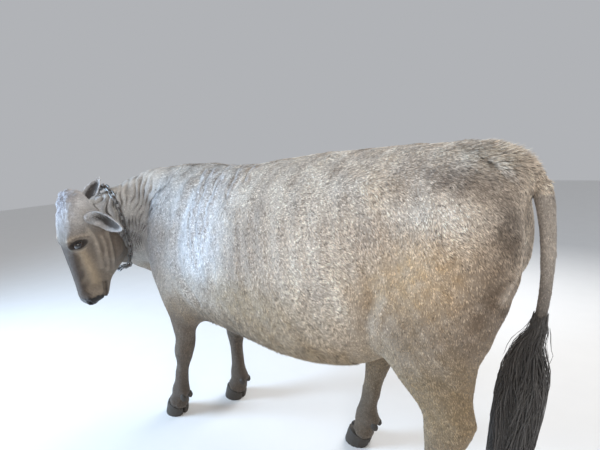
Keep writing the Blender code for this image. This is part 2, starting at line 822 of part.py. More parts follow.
def body_nodes():
    """Everything of flesh but the ears: fused, smoothed and parted."""
    flesh = trunk_pieces() + neck_pieces() + head_pieces()
    for name, stations in LEGS.items():
        flesh.append(leg_piece(name + "_form", stations))
        flesh += fetlock_pieces(stations)
        if name.startswith("hind"):
            flesh.append(hock_piece(stations))
    flesh.append(tail_tube("tail_root", TAIL[:TAIL_ROOT_STATIONS]))
    torso = fused("torso", flesh, 0.013, 10, 9000 * DETAIL)
    fine = fused("head", neck_pieces() + head_pieces(), 0.0065, 5, 3450 * DETAIL)

    nodes = {}
    throat = HEAD_FRAME @ Vector((0, 0.15, -0.195))
    head_way = HEAD_FRAME.to_3x3() @ Vector((0, 0.42, 0.91))
    size = (0.62, 0.62, 0.80)
    boolean(torso, [half_space("head_side", throat, head_way, size, GAP)], "DIFFERENCE")
    largest_body(torso)
    boolean(fine, [half_space("head_side", throat, head_way, size, 0.0)], "INTERSECT")
    nodes["head"] = largest_body(fine)

    neck_point, neck_way = Vector((0.03, -0.86, 1.10)), Vector((0.32, -0.95, 0.05))
    nodes["neck"] = parted(torso, "neck", lambda grow: half_space(
        "neck_side", neck_point, neck_way, (1.0, 1.2, 1.2), grow))

    for name in LEGS:
        x, y, z, half_width, half_depth, height = LEG_DOMES[name]
        leg = parted(torso, name, lambda grow: dome(
            "dome", (x, y, z), (half_width, half_depth, height), grow))
        kind = name.split("_")[0]
        side = name.split("_")[1]
        cut = LOWER_CUT[kind]
        slope = Vector((0, 0.15, -1)) if kind == "foreleg" else Vector((0, 0.45, -1))
        knee = next(row for row in LEGS[name] if row[2] > cut - 0.03)
        lower = parted(leg, name + "_lower", lambda grow: half_space(
            "lower_side", (knee[0], knee[1], cut), slope, (0.5, 0.7, 0.9), grow))
        boolean(lower, [hoof_space(LEGS[name])], "DIFFERENCE")
        largest_body(lower)
        leg.name = name + "_upper"
        nodes[leg.name] = leg
        nodes[lower.name] = lower

    tail_top = TAIL_CUTS["tail_upper"]
    channel = tail_tube("channel", [(x, y, z, r + TAIL_CLEARANCE) for x, y, z, r in TAIL])
    boolean(channel, [tail_side(tail_top + GAP)], "INTERSECT")
    boolean(torso, [channel], "DIFFERENCE")
    nodes["torso"] = largest_body(torso)
    tail = fused("tail_upper", [tail_tube("tail_form", TAIL)], 0.006, 4, 1100 * DETAIL)
    boolean(tail, [tail_side(tail_top)], "INTERSECT")
    boolean(tail, [tail_side(SWITCH_TOP_Z + GAP)], "DIFFERENCE")
    nodes["tail_lower"] = parted(tail, "tail_lower", lambda grow: tail_side(TAIL_CUTS["tail_lower"] + grow))
    nodes["tail_upper"] = tail
    return nodes


def tail_side(top):
    """A block round the tail, from the floor up to a level."""
    return block("tail_side", (0.0, 0.88, top / 2), (0.20, 0.24, top))


def hoof_space(stations):
    """What lies below the coronet, where the hoof begins."""
    x, y = stations[0][:2]
    slope = Vector((0, -CORONET_SLOPE, -1))
    return half_space("hoof_side", (x, y + HOOF_BACK_SET, HOOF_HEIGHT + GAP), slope, (0.3, 0.3, 0.3), 0.0)


def hooves():
    nodes = {}
    for name, stations in LEGS.items():
        x, y = stations[0][:2]
        for side, where in ((1, "left"), (-1, "right")):
            node = f"hoof_{name.replace('leg_', '_')}_{where}_claw"
            nodes[node] = claw(node, x, y, side)
    return nodes


def scrotum():
    shape = tail_tube("scrotum", ((0.0, 0.50, 0.80, 0.040), (0.0, 0.50, 0.72, 0.050),
                                  (0.0, 0.495, 0.64, 0.068), (0.0, 0.49, 0.57, 0.070),
                                  (0.0, 0.488, 0.52, 0.045)))
    return shape


def stand_on_origin(nodes):
    """Moves everything so that the middle of its box's base is the origin."""
    corners = [vert.co for thing in nodes for vert in thing.data.vertices]
    low = Vector([min(corner[axis] for corner in corners) for axis in range(3)])
    high = Vector([max(corner[axis] for corner in corners) for axis in range(3)])
    shift = Matrix.Translation((-(low.x + high.x) / 2, -(low.y + high.y) / 2, -low.z))
    for thing in nodes:
        thing.data.transform(shift)
    return shift.to_translation()


def main():
    clear_scene()
    coat = finish("grey_coat", (0.42, 0.38, 0.34), 0.85)
    horn = finish("hoof_horn", (0.06, 0.05, 0.045), 0.55)
    steel = finish("chain_steel", (0.45, 0.44, 0.42), 0.4, 1.0)
    eye_finish = finish("eye", (0.02, 0.012, 0.01), 0.1)

    nodes = body_nodes()
    beside = ("torso", "hindleg_left_upper", "hindleg_right_upper", "hindleg_right_lower")
    nodes["scrotum"] = cleared(scrotum(), [nodes[name] for name in beside])
    head = nodes["head"]
    groove = bent_tube("mouth", mouth_line(head, 0.0, 0.0), [MOUTH_GROOVE] * MOUTH_STEPS, 5)
    hollows = [eye("socket", side, 3 * GAP) for side in (1, -1)]
    hollows += [nostril(head, 1), nostril(head, -1), groove]
    boolean(head, lids(1) + lids(-1) + lips(head), "UNION")
    boolean(head, hollows, "DIFFERENCE")
    largest_body(head)
    right_ear = HEAD_FRAME.to_3x3() @ Vector((-0.02, -0.74, -0.70))
    left_ear = HEAD_FRAME.to_3x3() @ Vector((0.90, 0.30, -0.38))
    forward = HEAD_FRAME.to_3x3() @ Vector((0.30, 0.25, 0.90))
    grown_from = [nodes["head"], nodes["neck"]]
    nodes["ear_left"] = cleared(ear("ear_left", 1, left_ear, forward), grown_from)
    nodes["ear_right"] = cleared(ear("ear_right", -1, right_ear, forward), grown_from)
    nodes["eye_left"] = eye("eye_left", 1)
    nodes["eye_right"] = eye("eye_right", -1)
    nodes.update(hooves())
    nodes["tail_switch"] = tail_switch(nodes["tail_lower"])
    under_chain = ("neck", "head", "torso", "foreleg_left_upper")
    nodes["neck_chain"] = collar([nodes[name] for name in under_chain])
    for name, thing in nodes.items():
        thing.name = name
        thing.data.materials.clear()
        material = coat
        if "claw" in name:
            material = horn
        elif name.startswith("eye"):
            material = eye_finish
        elif name == "neck_chain":
            material = steel
        thing.data.materials.append(material)
    return stand_on_origin(list(nodes.values()))


SHIFT = main()
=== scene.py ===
"""A grey alpine bull that stands with its head turned to the left, as one still, life-size model."""

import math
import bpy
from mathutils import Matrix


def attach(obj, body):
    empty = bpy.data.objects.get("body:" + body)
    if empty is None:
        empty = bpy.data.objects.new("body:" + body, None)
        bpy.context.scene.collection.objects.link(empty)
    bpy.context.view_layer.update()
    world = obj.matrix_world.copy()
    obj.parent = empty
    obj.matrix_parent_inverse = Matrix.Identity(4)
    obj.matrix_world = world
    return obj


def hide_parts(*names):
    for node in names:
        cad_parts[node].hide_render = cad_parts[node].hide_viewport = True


bl_info = {
    "name": "Standing bull",
    "version": (1, 0, 0),
    "blender": (4, 5, 0),
    "location": "View3D > Sidebar > Bull",
    "description": "A grey bull with a speckled coat, a tufted tail and a neck chain",
    "category": "Object",
}

import bmesh
import bpy
import numpy as np
from mathutils import Matrix, Vector
from mathutils.bvhtree import BVHTree

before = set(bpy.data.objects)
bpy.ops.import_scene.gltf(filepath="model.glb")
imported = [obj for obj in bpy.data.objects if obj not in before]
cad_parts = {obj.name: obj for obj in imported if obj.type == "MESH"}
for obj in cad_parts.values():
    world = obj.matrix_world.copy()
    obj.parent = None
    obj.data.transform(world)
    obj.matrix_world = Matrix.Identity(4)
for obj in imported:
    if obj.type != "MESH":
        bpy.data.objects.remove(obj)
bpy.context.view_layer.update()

LEGS = [f"{leg}_{side}_{half}" for leg in ("foreleg", "hindleg")
        for side in ("left", "right") for half in ("upper", "lower")]
TRUNK = ["torso", "neck", "head", "scrotum"]
TAIL = ["tail_upper", "tail_lower"]
EARS = ["ear_left", "ear_right"]
HOOVES = [f"hoof_{leg}_{side}_{claw}_claw" for leg in ("fore", "hind")
          for side in ("left", "right") for claw in ("left", "right")]

# The head's own axes: across to its left, down the nose, and out of the forehead.
PLACE = Vector((-0.11339, 0.12442, 0.0))
POLL = Vector((0.608, -0.967, 1.286)) + PLACE
HEAD_AXES = Matrix(((0.18137, -0.06803, 0.98106), (0.98339, 0.02001, -0.18041), (0.00736, -0.99748, -0.07053)))
EYE_PLACE = Vector((0.1045, 0.236, -0.050))
EYE_RADIUS = 0.0215
SEED = 11

# Each ear: the way from its root to its tip, and the way its cup opens, in the head's own axes.
EAR_WAYS = {"ear_left": (0.90, 0.30, -0.38), "ear_right": (-0.02, -0.74, -0.70)}
EAR_OPENING = (0.30, 0.25, 0.90)

# The neck chain hangs in a plane across the neck, round this point.
COLLAR_CENTRE = Vector((0.322, -0.998, 1.120)) + PLACE
COLLAR_WAY = Vector((0.95, -0.14, -0.06)).normalized()
COLLAR_REACH = 0.360
LINK_LENGTH = 0.050
LINK_WIDTH = 0.030
LINK_WIRE = 0.0042


def head_place(across, down, out):
    return POLL + HEAD_AXES @ Vector((across, down, out))


def in_head(points):
    """Points turned into the head's own axes."""
    return (points - np.array(POLL)) @ np.linalg.inv(np.array(HEAD_AXES)).T


class BullSkinSettings(bpy.types.PropertyGroup):
    """Sizes of the skin."""
    cell: bpy.props.FloatProperty(
        name="Cell", description="Size of the skin's faces on the body", default=0.0140, unit="LENGTH")
    inset: bpy.props.FloatProperty(
        name="Coat depth", description="How far the skin lies inside the solids", default=0.006, unit="LENGTH")
    fold_depth: bpy.props.FloatProperty(
        name="Fold depth", description="Depth of the folds on the neck", default=0.0118, unit="LENGTH")


class BullCoatSettings(bpy.types.PropertyGroup):
    """Sizes and amount of the coat."""
    fullness: bpy.props.FloatProperty(
        name="Fullness", description="Share of the full number of tufts", default=1.0, subtype="FACTOR")
    length: bpy.props.FloatProperty(
        name="Length", description="Length of a tuft on the body", default=0.0125, unit="LENGTH")
    width: bpy.props.FloatProperty(
        name="Width", description="Width of a tuft on the body", default=0.0029, unit="LENGTH")
    switch_length: bpy.props.FloatProperty(
        name="Switch length", description="Length of the hair at the tail's end", default=0.34, unit="LENGTH")


class BullColourSettings(bpy.types.PropertyGroup):
    """Colours of the coat and of the bare parts."""
    pale: bpy.props.FloatVectorProperty(
        name="Pale hair", description="Colour of the pale hair", subtype="COLOR", default=(0.74, 0.635, 0.525))
    dark: bpy.props.FloatVectorProperty(
        name="Dark hair", description="Colour of the dark hair", subtype="COLOR", default=(0.25, 0.20, 0.16))
    hoof: bpy.props.FloatVectorProperty(
        name="Hoof", description="Colour of the hooves", subtype="COLOR", default=(0.034, 0.029, 0.025))
    iris: bpy.props.FloatVectorProperty(
        name="Iris", description="Colour of the iris", subtype="COLOR", default=(0.012, 0.006, 0.004))
    chain: bpy.props.FloatVectorProperty(
        name="Chain", description="Colour of the neck chain", subtype="COLOR", default=(0.19, 0.185, 0.18))


def wavy(points, size, seed):
    """A smooth pattern from about -1 to 1 that repeats at about the given size."""
    draw = np.random.default_rng(seed)
    value = np.zeros(len(points))
    for index in range(6):
        way = draw.normal(size=3)
        way *= 2 * math.pi / (size * np.linalg.norm(way)) * draw.uniform(0.6, 1.5)
        value += np.sin(points @ way + draw.uniform(0, 6.28))
    return value / 2.6


def near(points, centre, radii):
    """One at a place, fading to nothing at about twice its radii."""
    return np.exp(-np.sum(((points - np.array(centre)) / np.array(radii)) ** 2, axis=1))


def near_line(points, line, width):
    """One along a line through given points, fading to nothing at about twice its width."""
    best = np.full(len(points), np.inf)
    for start, end in zip(line[:-1], line[1:]):
        start = np.array(start, float)
        way = np.array(end, float) - start
        share = np.clip((points - start) @ way / (way @ way), 0, 1)
        best = np.minimum(best, np.sum((points - start - share[:, None] * way) ** 2, axis=1))
    return np.exp(-best / width ** 2)


def smoothstep(low, high, value):
    share = np.clip((value - low) / (high - low), 0, 1)
    return share * share * (3 - 2 * share)


def unit(vectors):
    return vectors / np.maximum(np.linalg.norm(vectors, axis=1), 1e-9)[:, None]


def node_copy(names, swell=0.0):
    """One mesh from copies of solids, with doubles merged, swollen along its normals."""
    joined = bmesh.new()
    for name in names:
        joined.from_mesh(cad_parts[name].data)
    bmesh.ops.remove_doubles(joined, verts=joined.verts, dist=1e-6)
    joined.normal_update()
    for vert in joined.verts:
        vert.co += vert.normal * swell
    mesh = bpy.data.meshes.new("copy")
    joined.to_mesh(mesh)
    joined.free()
    return mesh


def piece_from(name, mesh, material, smooth=True):
    piece = bpy.data.objects.new(name, mesh)
    bpy.context.collection.objects.link(piece)
    if material:
        mesh.materials.clear()
        mesh.materials.append(material)
    mesh.polygons.foreach_set("use_smooth", [smooth] * len(mesh.polygons))
    return piece


def applied(piece):
    """The piece's mesh with its modifiers worked in."""
    mesh = bpy.data.meshes.new_from_object(piece.evaluated_get(bpy.context.evaluated_depsgraph_get()))
    piece.modifiers.clear()
    old = piece.data
    piece.data = mesh
    bpy.data.meshes.remove(old)
    return mesh


def remeshed(names, cell, swell):
    """Copies of solids melted into one closed skin of even faces."""
    piece = piece_from("melt", node_copy(names, swell), None)
    change = piece.modifiers.new("Melt", "REMESH")
    change.mode = "VOXEL"
    change.voxel_size = cell
    mesh = applied(piece)
    bpy.data.objects.remove(piece)
    return mesh


def coordinates(mesh):
    points = np.empty(len(mesh.vertices) * 3)
    mesh.vertices.foreach_get("co", points)
    return points.reshape(-1, 3)


def normals(mesh):
    values = np.empty(len(mesh.vertices) * 3)
    mesh.vertices.foreach_get("normal", values)
    return values.reshape(-1, 3)


def edges(mesh):
    ends = np.empty(len(mesh.edges) * 2, dtype=np.int32)
    mesh.edges.foreach_get("vertices", ends)
    return ends.reshape(-1, 2)


def place_points(mesh, points):
    mesh.vertices.foreach_set("co", points.ravel())
    mesh.update()


def smoothed(points, ends, amount, rounds):
    """Points drawn towards the middle of their neighbours, by an amount at each point."""
    count = np.bincount(ends.ravel(), minlength=len(points)).astype(float)
    for _ in range(rounds):
        middle = np.empty_like(points)
        for axis in range(3):
            total = np.bincount(ends[:, 0], weights=points[ends[:, 1], axis], minlength=len(points))
            total += np.bincount(ends[:, 1], weights=points[ends[:, 0], axis], minlength=len(points))
            middle[:, axis] = total / np.maximum(count, 1)
        points = points + (middle - points) * amount[:, None]
    return points


def tree_of(names):
    """A search tree over some solids, and the name that each of its faces belongs to."""
    verts = []
    faces = []
    owners = []
    for name in names:
        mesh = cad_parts[name].data
        start = len(verts)
        verts += [vert.co.copy() for vert in mesh.vertices]
        faces += [tuple(start + index for index in face.vertices) for face in mesh.polygons]
        owners += [name] * len(mesh.polygons)
    return BVHTree.FromPolygons(verts, faces), owners


def owners_of(points, names):
    """The solid that each point lies nearest to, as an index into names."""
    tree, owners = tree_of(names)
    numbers = {name: index for index, name in enumerate(names)}
    return np.array([numbers[owners[tree.find_nearest(point)[2]]] for point in points])


def refined(mesh, chosen):
    """The mesh with every face divided whose corners are all chosen."""
    shape = bmesh.new()
    shape.from_mesh(mesh)
    parts = [edge for edge in shape.edges if chosen[edge.verts[0].index] and chosen[edge.verts[1].index]]
    bmesh.ops.subdivide_edges(shape, edges=parts, cuts=1, use_grid_fill=True)
    shape.to_mesh(mesh)
    shape.free()


def palette():
    colours = bpy.context.scene.bull_colours
    return np.array(colours.pale), np.array(colours.dark)


# Each mark: its place, its radii, its colour and how fully it covers; some are painted light or shade, as said above
# them.
BODY_MARKS = (
    ((-0.06, -0.34, 1.38), (0.16, 0.20, 0.07), (0.36, 0.34, 0.315), 0.50),
    ((0.22, 0.36, 1.08), (0.14, 0.20, 0.16), (0.70, 0.59, 0.485), 0.60),
    ((0.09, 0.84, 1.33), (0.12, 0.15, 0.060), (0.21, 0.170, 0.140), 0.75),
    # painted highlight: a pale band across the rump where light falls on the muscle
    ((0.16, 0.82, 1.215), (0.12, 0.16, 0.045), (0.82, 0.73, 0.64), 0.78),
    ((0.20, 0.62, 1.16), (0.20, 0.16, 0.08), (0.36, 0.29, 0.235), 0.45),
    ((0.10, 0.945, 1.20), (0.08, 0.05, 0.10), (0.11, 0.088, 0.072), 0.68),
    ((0.20, 0.755, 1.035), (0.16, 0.150, 0.135), (0.58, 0.400, 0.230), 0.78),
    ((0.21, 0.62, 0.98), (0.14, 0.10, 0.08), (0.46, 0.32, 0.18), 0.50),
    # painted shade: the back edge of the thigh, darkened where it lies in shadow
    ((0.15, 0.93, 0.95), (0.12, 0.10, 0.17), (0.135, 0.094, 0.064), 0.72),
    ((0.20, 0.74, 0.87), (0.14, 0.14, 0.10), (0.22, 0.150, 0.092), 0.62),
    # darker brown hair on the gaskin, deepened with painted shade
    ((0.14, 0.78, 0.64), (0.13, 0.16, 0.17), (0.110, 0.073, 0.044), 0.82),
    ((0.24, 0.08, 1.08), (0.10, 0.17, 0.17), (0.36, 0.29, 0.235), 0.50),
    # painted highlight: a pale bluish band where the window light falls on the shoulder
    ((0.20, -0.25, 1.08), (0.20, 0.17, 0.24), (0.84, 0.865, 0.91), 0.75),
    # grey hair on the neck, tinted with painted bluish window light
    ((0.14, -0.60, 1.05), (0.16, 0.12, 0.22), (0.58, 0.605, 0.66), 0.60),
    ((0.22, 0.10, 0.86), (0.12, 0.30, 0.10), (0.37, 0.285, 0.175), 0.60),
    ((-0.36, 0.60, 1.10), (0.22, 0.26, 0.20), (0.36, 0.30, 0.24), 0.40),
    ((0.00, 0.86, 1.375), (0.09, 0.12, 0.045), (0.66, 0.59, 0.50), 0.75),
)
HEAD_MARKS = (
    ((0.0, 0.03, 0.00), (0.12, 0.12, 0.12), (0.42, 0.415, 0.46), 0.85),
    ((0.0, 0.488, -0.06), (0.12, 0.020, 0.10), (0.40, 0.33, 0.26), 0.60),
    ((0.10, 0.24, -0.20), (0.06, 0.14, 0.07), (0.15, 0.11, 0.08), 0.65),
    ((-0.10, 0.24, -0.20), (0.06, 0.14, 0.07), (0.15, 0.11, 0.08), 0.65),
    ((0.0, 0.47, -0.165), (0.09, 0.08, 0.05), (0.36, 0.30, 0.24), 0.50),
)
# The pale streak under the eye, the line between the lips and the nostril, all on the head's left side
# in the head's own axes.
FACE_STREAK = ((0.100, 0.275, -0.055), (0.088, 0.310, -0.066), (0.076, 0.365, -0.080), (0.064, 0.430, -0.094))
MOUTH_LINE = ((0.0, 0.528, -0.112), (0.028, 0.528, -0.113), (0.052, 0.527, -0.115), (0.068, 0.520, -0.117),
              (0.070, 0.500, -0.120), (0.065, 0.483, -0.123), (0.056, 0.456, -0.130))
NOSTRIL_PLACE = (0.046, 0.532, -0.052)
NOSTRIL_WAY = (0.715, 0.661, 0.227)
NOSTRIL_RUN = (0.40, -0.62, 0.55)
NOSTRIL_LENGTH = 0.0170
NOSTRIL_HEIGHT = 0.0088
# The folds of the cheek, in the head's own axes for its left side.
CHEEK_FOLDS = (
    ((0.091, 0.217, -0.181), (0.099, 0.275, -0.180), (0.088, 0.342, -0.182), (0.060, 0.400, -0.185)),
    ((0.120, 0.190, -0.143), (0.097, 0.243, -0.155), (0.094, 0.317, -0.154), (0.059, 0.391, -0.158)),
    ((0.110, 0.175, -0.105), (0.106, 0.235, -0.125), (0.092, 0.300, -0.128), (0.070, 0.370, -0.132)),
)


def eye_places():
    """Each side of the head with its eye's middle and the way it looks."""
    for side in (1, -1):
        centre = head_place(side * EYE_PLACE.x, EYE_PLACE.y, EYE_PLACE.z)
        out = (HEAD_AXES @ Vector((side * 0.95, 0, 0.31))).normalized()
        yield side, centre, out


def mouth_side(side, lift=0.0):
    """The line between the lips on one side of the head, or a line above or below it."""
    return [(side * x, y, z + lift) for x, y, z in MOUTH_LINE]


def from_nostril(local, side):
    """How far places lie from the middle of a bent nostril: one at its rim."""
    mirror = np.array((side, 1, 1))
    out = np.array(NOSTRIL_WAY) * mirror
    along = np.array(NOSTRIL_RUN) * mirror
    along = along / np.linalg.norm(along)
    across = np.cross(out, along) * side
    offset = local - np.array(NOSTRIL_PLACE) * mirror
    length = offset @ along
    height = offset @ across - 14.0 * length ** 2
    return np.hypot(length / NOSTRIL_LENGTH, height / NOSTRIL_HEIGHT) + 4.0 * (np.abs(offset @ out) > 0.03)


def nose_pad(local):
    """One on the bare wet end of the muzzle, above the mouth."""
    edge = local[:, 1] + 0.004 * wavy(local, 0.02, 44) - 0.10 * np.clip(local[:, 2] + 0.045, 0, 1)
    mouth = smoothstep(-0.116, -0.110, local[:, 2])
    return smoothstep(0.500, 0.512, edge) * mouth


def mixed(colour, tint, share):
    """Colours drawn towards a tint by a share at each point."""
    share = share[:, None]
    return colour * (1 - share) + np.array(tint) * share


def almond(points, side, centre, out):
    """How far points lie from the slit of an eye: one at the edge of its dark rim."""
    along, above = slit_ways(side, out)
    offset = points - np.array(centre)
    length = offset @ np.array(along)
    height = offset @ np.array(above)
    tall = np.where(height > 0, 0.0200, 0.0155)
    return np.hypot(length / 0.0360, height / tall) + 4.0 * (offset @ np.array(out) < -0.012)


def slit_ways(side, out):
    """The way along an eye's slit towards the ear, and the way up towards the poll."""
    along = (HEAD_AXES @ Vector((side * 0.31, -0.20, -0.93))).normalized()
    along = (along - out * along.dot(out)).normalized()
    above = HEAD_AXES @ Vector((0.0, -1.0, 0.0))
    above = above - out * above.dot(out) - along * above.dot(along)
    return along, above.normalized()


def coat_colour_and_shade(points, part):
    """The colour of the coat at points on the parts named, with painted shade in folds, grooves and shaded parts and
    painted highlights on ridges and on the lit shoulder.
    """
    pale, dark = palette()
    mottle = 0.28 * wavy(points, 0.16, 3) + 0.22 * wavy(points, 0.07, 4) + 0.12 * wavy(points, 0.035, 5)
    share = np.clip(0.76 + 0.60 * mottle, 0, 1)
    colour = mixed(np.tile(dark, (len(points), 1)), pale, share)
    # painted bluish window light: the front half is tinted blue, less so along the top of the back
    painted_cool_light = (smoothstep(0.10, -0.40, points[:, 1]) * (1 - 0.75 * smoothstep(1.22, 1.36, points[:, 2])))[:, None]
    colour = colour * (1 + painted_cool_light * (np.array((0.96, 1.06, 1.19)) - 1))
    for centre, radii, tint, cover in BODY_MARKS:
        broken = cover * (1 + 0.18 * wavy(points, 0.05, 6))
        colour = mixed(colour, tint, np.clip(near(points, centre, radii) * 1.3, 0, 1) * np.clip(broken, 0, 1))
    folds = neck_folds(points, near_neck_of(points, part))
    # painted shade in the valleys of the neck folds and painted highlight on their ridges
    colour = mixed(colour, (0.090, 0.082, 0.082), np.clip(-1.9 * folds, 0, 0.93))
    colour = mixed(colour, (0.66, 0.67, 0.70), np.clip(1.1 * folds, 0, 0.45))
    # painted shade in the groove behind each wrinkle and painted highlight on its ridge
    for line in WRINKLES:
        colour = mixed(colour, (0.15, 0.14, 0.14), near_line(points + np.array((0, 0.022, 0)), line, 0.0055) * 0.62)
        colour = mixed(colour, (0.80, 0.80, 0.84), near_line(points, line, 0.009) * 0.45)
    # painted highlight along the edge of the buttock
    colour = mixed(colour, (0.70, 0.61, 0.52), near_line(points, BUTTOCK_EDGE, 0.011) * 0.55)
    # painted shade in the cleft between the tail root and the rump
    colour = mixed(colour, (0.07, 0.055, 0.045), near_line(points, TAIL_ROOT_EDGE, 0.010) * 0.85)
    # painted highlight along the edge of the flank fold
    colour = mixed(colour, (0.66, 0.56, 0.45), near_line(points, FLANK_FOLD, 0.012) * 0.45)
    low = points[:, 2] + 0.03 * wavy(points, 0.12, 7)
    front = smoothstep(0.15, 0.0, points[:, 1])
    # tan hair on the lower body, darkened towards the bottom with painted shade
    colour = mixed(colour, (0.34, 0.245, 0.138), smoothstep(0.98, 0.64, low) * ~np.isin(part, TAIL) * 0.80)
    # dark hair on the lower front and forelegs, deepened with painted shade
    colour = mixed(colour, (0.145, 0.112, 0.086), smoothstep(0.84, 0.54, low) * front * 0.88)
    colour = mixed(colour, (0.105, 0.082, 0.064), smoothstep(0.62, 0.18, low) * np.isin(part, LEGS) * 0.82)
    colour = mixed(colour, (0.46, 0.41, 0.365), np.isin(part, TAIL) * smoothstep(0.80, 0.95, points[:, 2]) * 0.8)
    # painted shade down the lower part of the tail
    colour = mixed(colour, (0.115, 0.100, 0.088), np.isin(part, TAIL) * smoothstep(1.12, 0.82, points[:, 2]) * 0.88)
    head = np.isin(part, ["head"])
    local = in_head(points)
    colour = mixed(colour, (0.58, 0.56, 0.56), np.isin(part, EARS) * 0.7)
    colour = mixed(colour, (0.155, 0.116, 0.081), smoothstep(0.04, 0.24, local[:, 1]) * head * 0.84)
    for centre, radii, tint, cover in HEAD_MARKS:
        colour = mixed(colour, tint, np.clip(near(local, centre, radii) * 1.3, 0, 1) * cover * head)
    # dark hair on the front plane of the nose, deepened with painted shade
    bridge = smoothstep(-0.066, -0.036, local[:, 2] + 0.008 * wavy(local, 0.05, 42))
    bridge *= smoothstep(0.205, 0.285, local[:, 1] + 0.020 * wavy(local, 0.06, 43))
    colour = mixed(colour, (0.085, 0.066, 0.056), bridge * head * 0.90)
    for side in (1, -1):
        streak = [(side * x, y, z) for x, y, z in FACE_STREAK]
        colour = mixed(colour, (0.52, 0.40, 0.27), near_line(local, streak, 0.024) * head * 0.70)
        for fold in CHEEK_FOLDS:
            line = [(side * x, y, z) for x, y, z in fold]
            below = [(side * x, y + 0.003, z - 0.020) for x, y, z in fold]
            # painted highlight on each cheek fold's ridge and painted shade in the groove below it
            colour = mixed(colour, (0.62, 0.53, 0.43), near_line(local, line, 0.011) * head * 0.55)
            colour = mixed(colour, (0.12, 0.09, 0.07), near_line(local, below, 0.009) * head * 0.75)
    colour = mixed(colour, (0.022, 0.019, 0.019), nose_pad(local) * head * 0.97)
    for side in (1, -1):
        colour = mixed(colour, (0.045, 0.034, 0.030), near_line(local, mouth_side(side, -0.006), 0.008) * head * 0.85)
        # dark skin, painted darker still as shade in the slit between the lips and inside the nostrils
        colour = mixed(colour, (0.010, 0.008, 0.008), near_line(local, mouth_side(side), 0.0045) * head * 0.95)
        colour = mixed(colour, (0.006, 0.005, 0.005), smoothstep(1.15, 0.85, from_nostril(local, side)) * head)
    for side, centre, out in eye_places():
        reach = almond(points, side, centre, out)
        colour = mixed(colour, (0.56, 0.46, 0.36), np.exp(-((reach - 1.85) / 0.40) ** 2) * head * 0.60)
        above = (points - np.array(centre)) @ np.array(slit_ways(side, out)[1])
        # painted shade in the crease of the lid
        crease = np.exp(-((reach - 1.58) / 0.13) ** 2) * smoothstep(0.004, 0.014, np.abs(above)) * head
        colour = mixed(colour, (0.10, 0.075, 0.058), crease * 0.65)
        colour = mixed(colour, (0.030, 0.022, 0.018), smoothstep(1.30, 0.95, reach) * 0.92)
    return np.clip(colour, 0.004, 0.95)


def ear_frame(name):
    """The way along an ear, the way its cup opens and the way across it."""
    along = (HEAD_AXES @ Vector(EAR_WAYS[name])).normalized()
    opening = HEAD_AXES @ Vector(EAR_OPENING)
    opening = (opening - along * opening.dot(along)).normalized()
    return np.array(along), np.array(opening), np.array(along.cross(opening))


def in_ear(points, ways, part):
    """One inside the cup of an ear, fading towards its rim."""
    inside = np.zeros(len(points))
    for name in EARS:
        along, opening, across = ear_frame(name)
        solid = coordinates(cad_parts[name].data)
        shares = []
        for way in (along, across):
            low, high = (solid @ way).min(), (solid @ way).max()
            shares.append((points @ way - low) / (high - low) - 0.5)
        reach = np.hypot((shares[0] - 0.03) / 0.40, shares[1] / 0.36)
        inside += np.isin(part, [name]) * smoothstep(0.0, 0.3, ways @ opening) * smoothstep(1.12, 0.80, reach)
    return inside


def paint(mesh, colours, dry=1.0):
    """Keeps a colour at each vertex for the material to read, and how dry it is there."""
    layer = mesh.attributes.new("coat_colour_and_shade", "FLOAT_COLOR", "POINT")
    values = np.ones((len(colours), 4), dtype=np.float32)
    values[:, :3] = colours
    values[:, 3] = dry
    layer.data.foreach_set("color", values.ravel())


class Value:
    """A number socket that can be written into sums."""

    def __init__(self, maker, socket):
        self.maker = maker
        self.socket = socket

    def _sum(self, operation, first, second):
        return self.maker.node("ShaderNodeMath", {"operation": operation}, {0: first, 1: second})

    def __add__(self, other):
        return self._sum("ADD", self, other)

    def __radd__(self, other):
        return self._sum("ADD", other, self)

    def __sub__(self, other):
        return self._sum("SUBTRACT", self, other)

    def __rsub__(self, other):
        return self._sum("SUBTRACT", other, self)

    def __mul__(self, other):
        return self._sum("MULTIPLY", self, other)

    def __rmul__(self, other):
        return self._sum("MULTIPLY", other, self)


class Finish:
    """Builds one material from nodes."""

    def __init__(self, name, **constants):
        self.material = bpy.data.materials.new(name)
        self.material.use_nodes = True
        self.tree = self.material.node_tree
        self.shader = self.tree.nodes["Principled BSDF"]
        for socket, value in constants.items():
            self.shader.inputs[socket.replace("_", " ")].default_value = value

    def node(self, kind, settings, sockets, output=0):
        made = self.tree.nodes.new(kind)
        for key, value in settings.items():
            setattr(made, key, value)
        for key, value in sockets.items():
            self.join(value, made.inputs[key])
        return Value(self, made.outputs[output])

    def join(self, value, socket):
        if isinstance(value, Value):
            self.tree.links.new(value.socket, socket)
        else:
            socket.default_value = value

    def set(self, socket, value):
        self.join(value, self.shader.inputs[socket])

    def place(self):
        return self.node("ShaderNodeTexCoord", {}, {}, "Object")

    def noise(self, scale, detail=3.0, roughness=0.55, stretch=None):
        where = self.place()
        if stretch:
            where = self.node("ShaderNodeMapping", {}, {"Vector": where, "Scale": stretch})
        return self.node("ShaderNodeTexNoise", {}, {
            "Vector": where, "Scale": scale, "Detail": detail, "Roughness": roughness}, "Fac")

    def attribute(self, name, output="Color"):
        return self.node("ShaderNodeAttribute", {"attribute_name": name}, {}, output)

    def mix(self, share, first, second, blend="MIX"):
        return self.node("ShaderNodeMix", {"data_type": "RGBA", "blend_type": blend}, {
            0: share, 6: first, 7: second}, 2)

    def bump(self, height, strength, distance):
        self.set("Normal", self.node("ShaderNodeBump", {}, {
            "Height": height, "Strength": strength, "Distance": distance}))


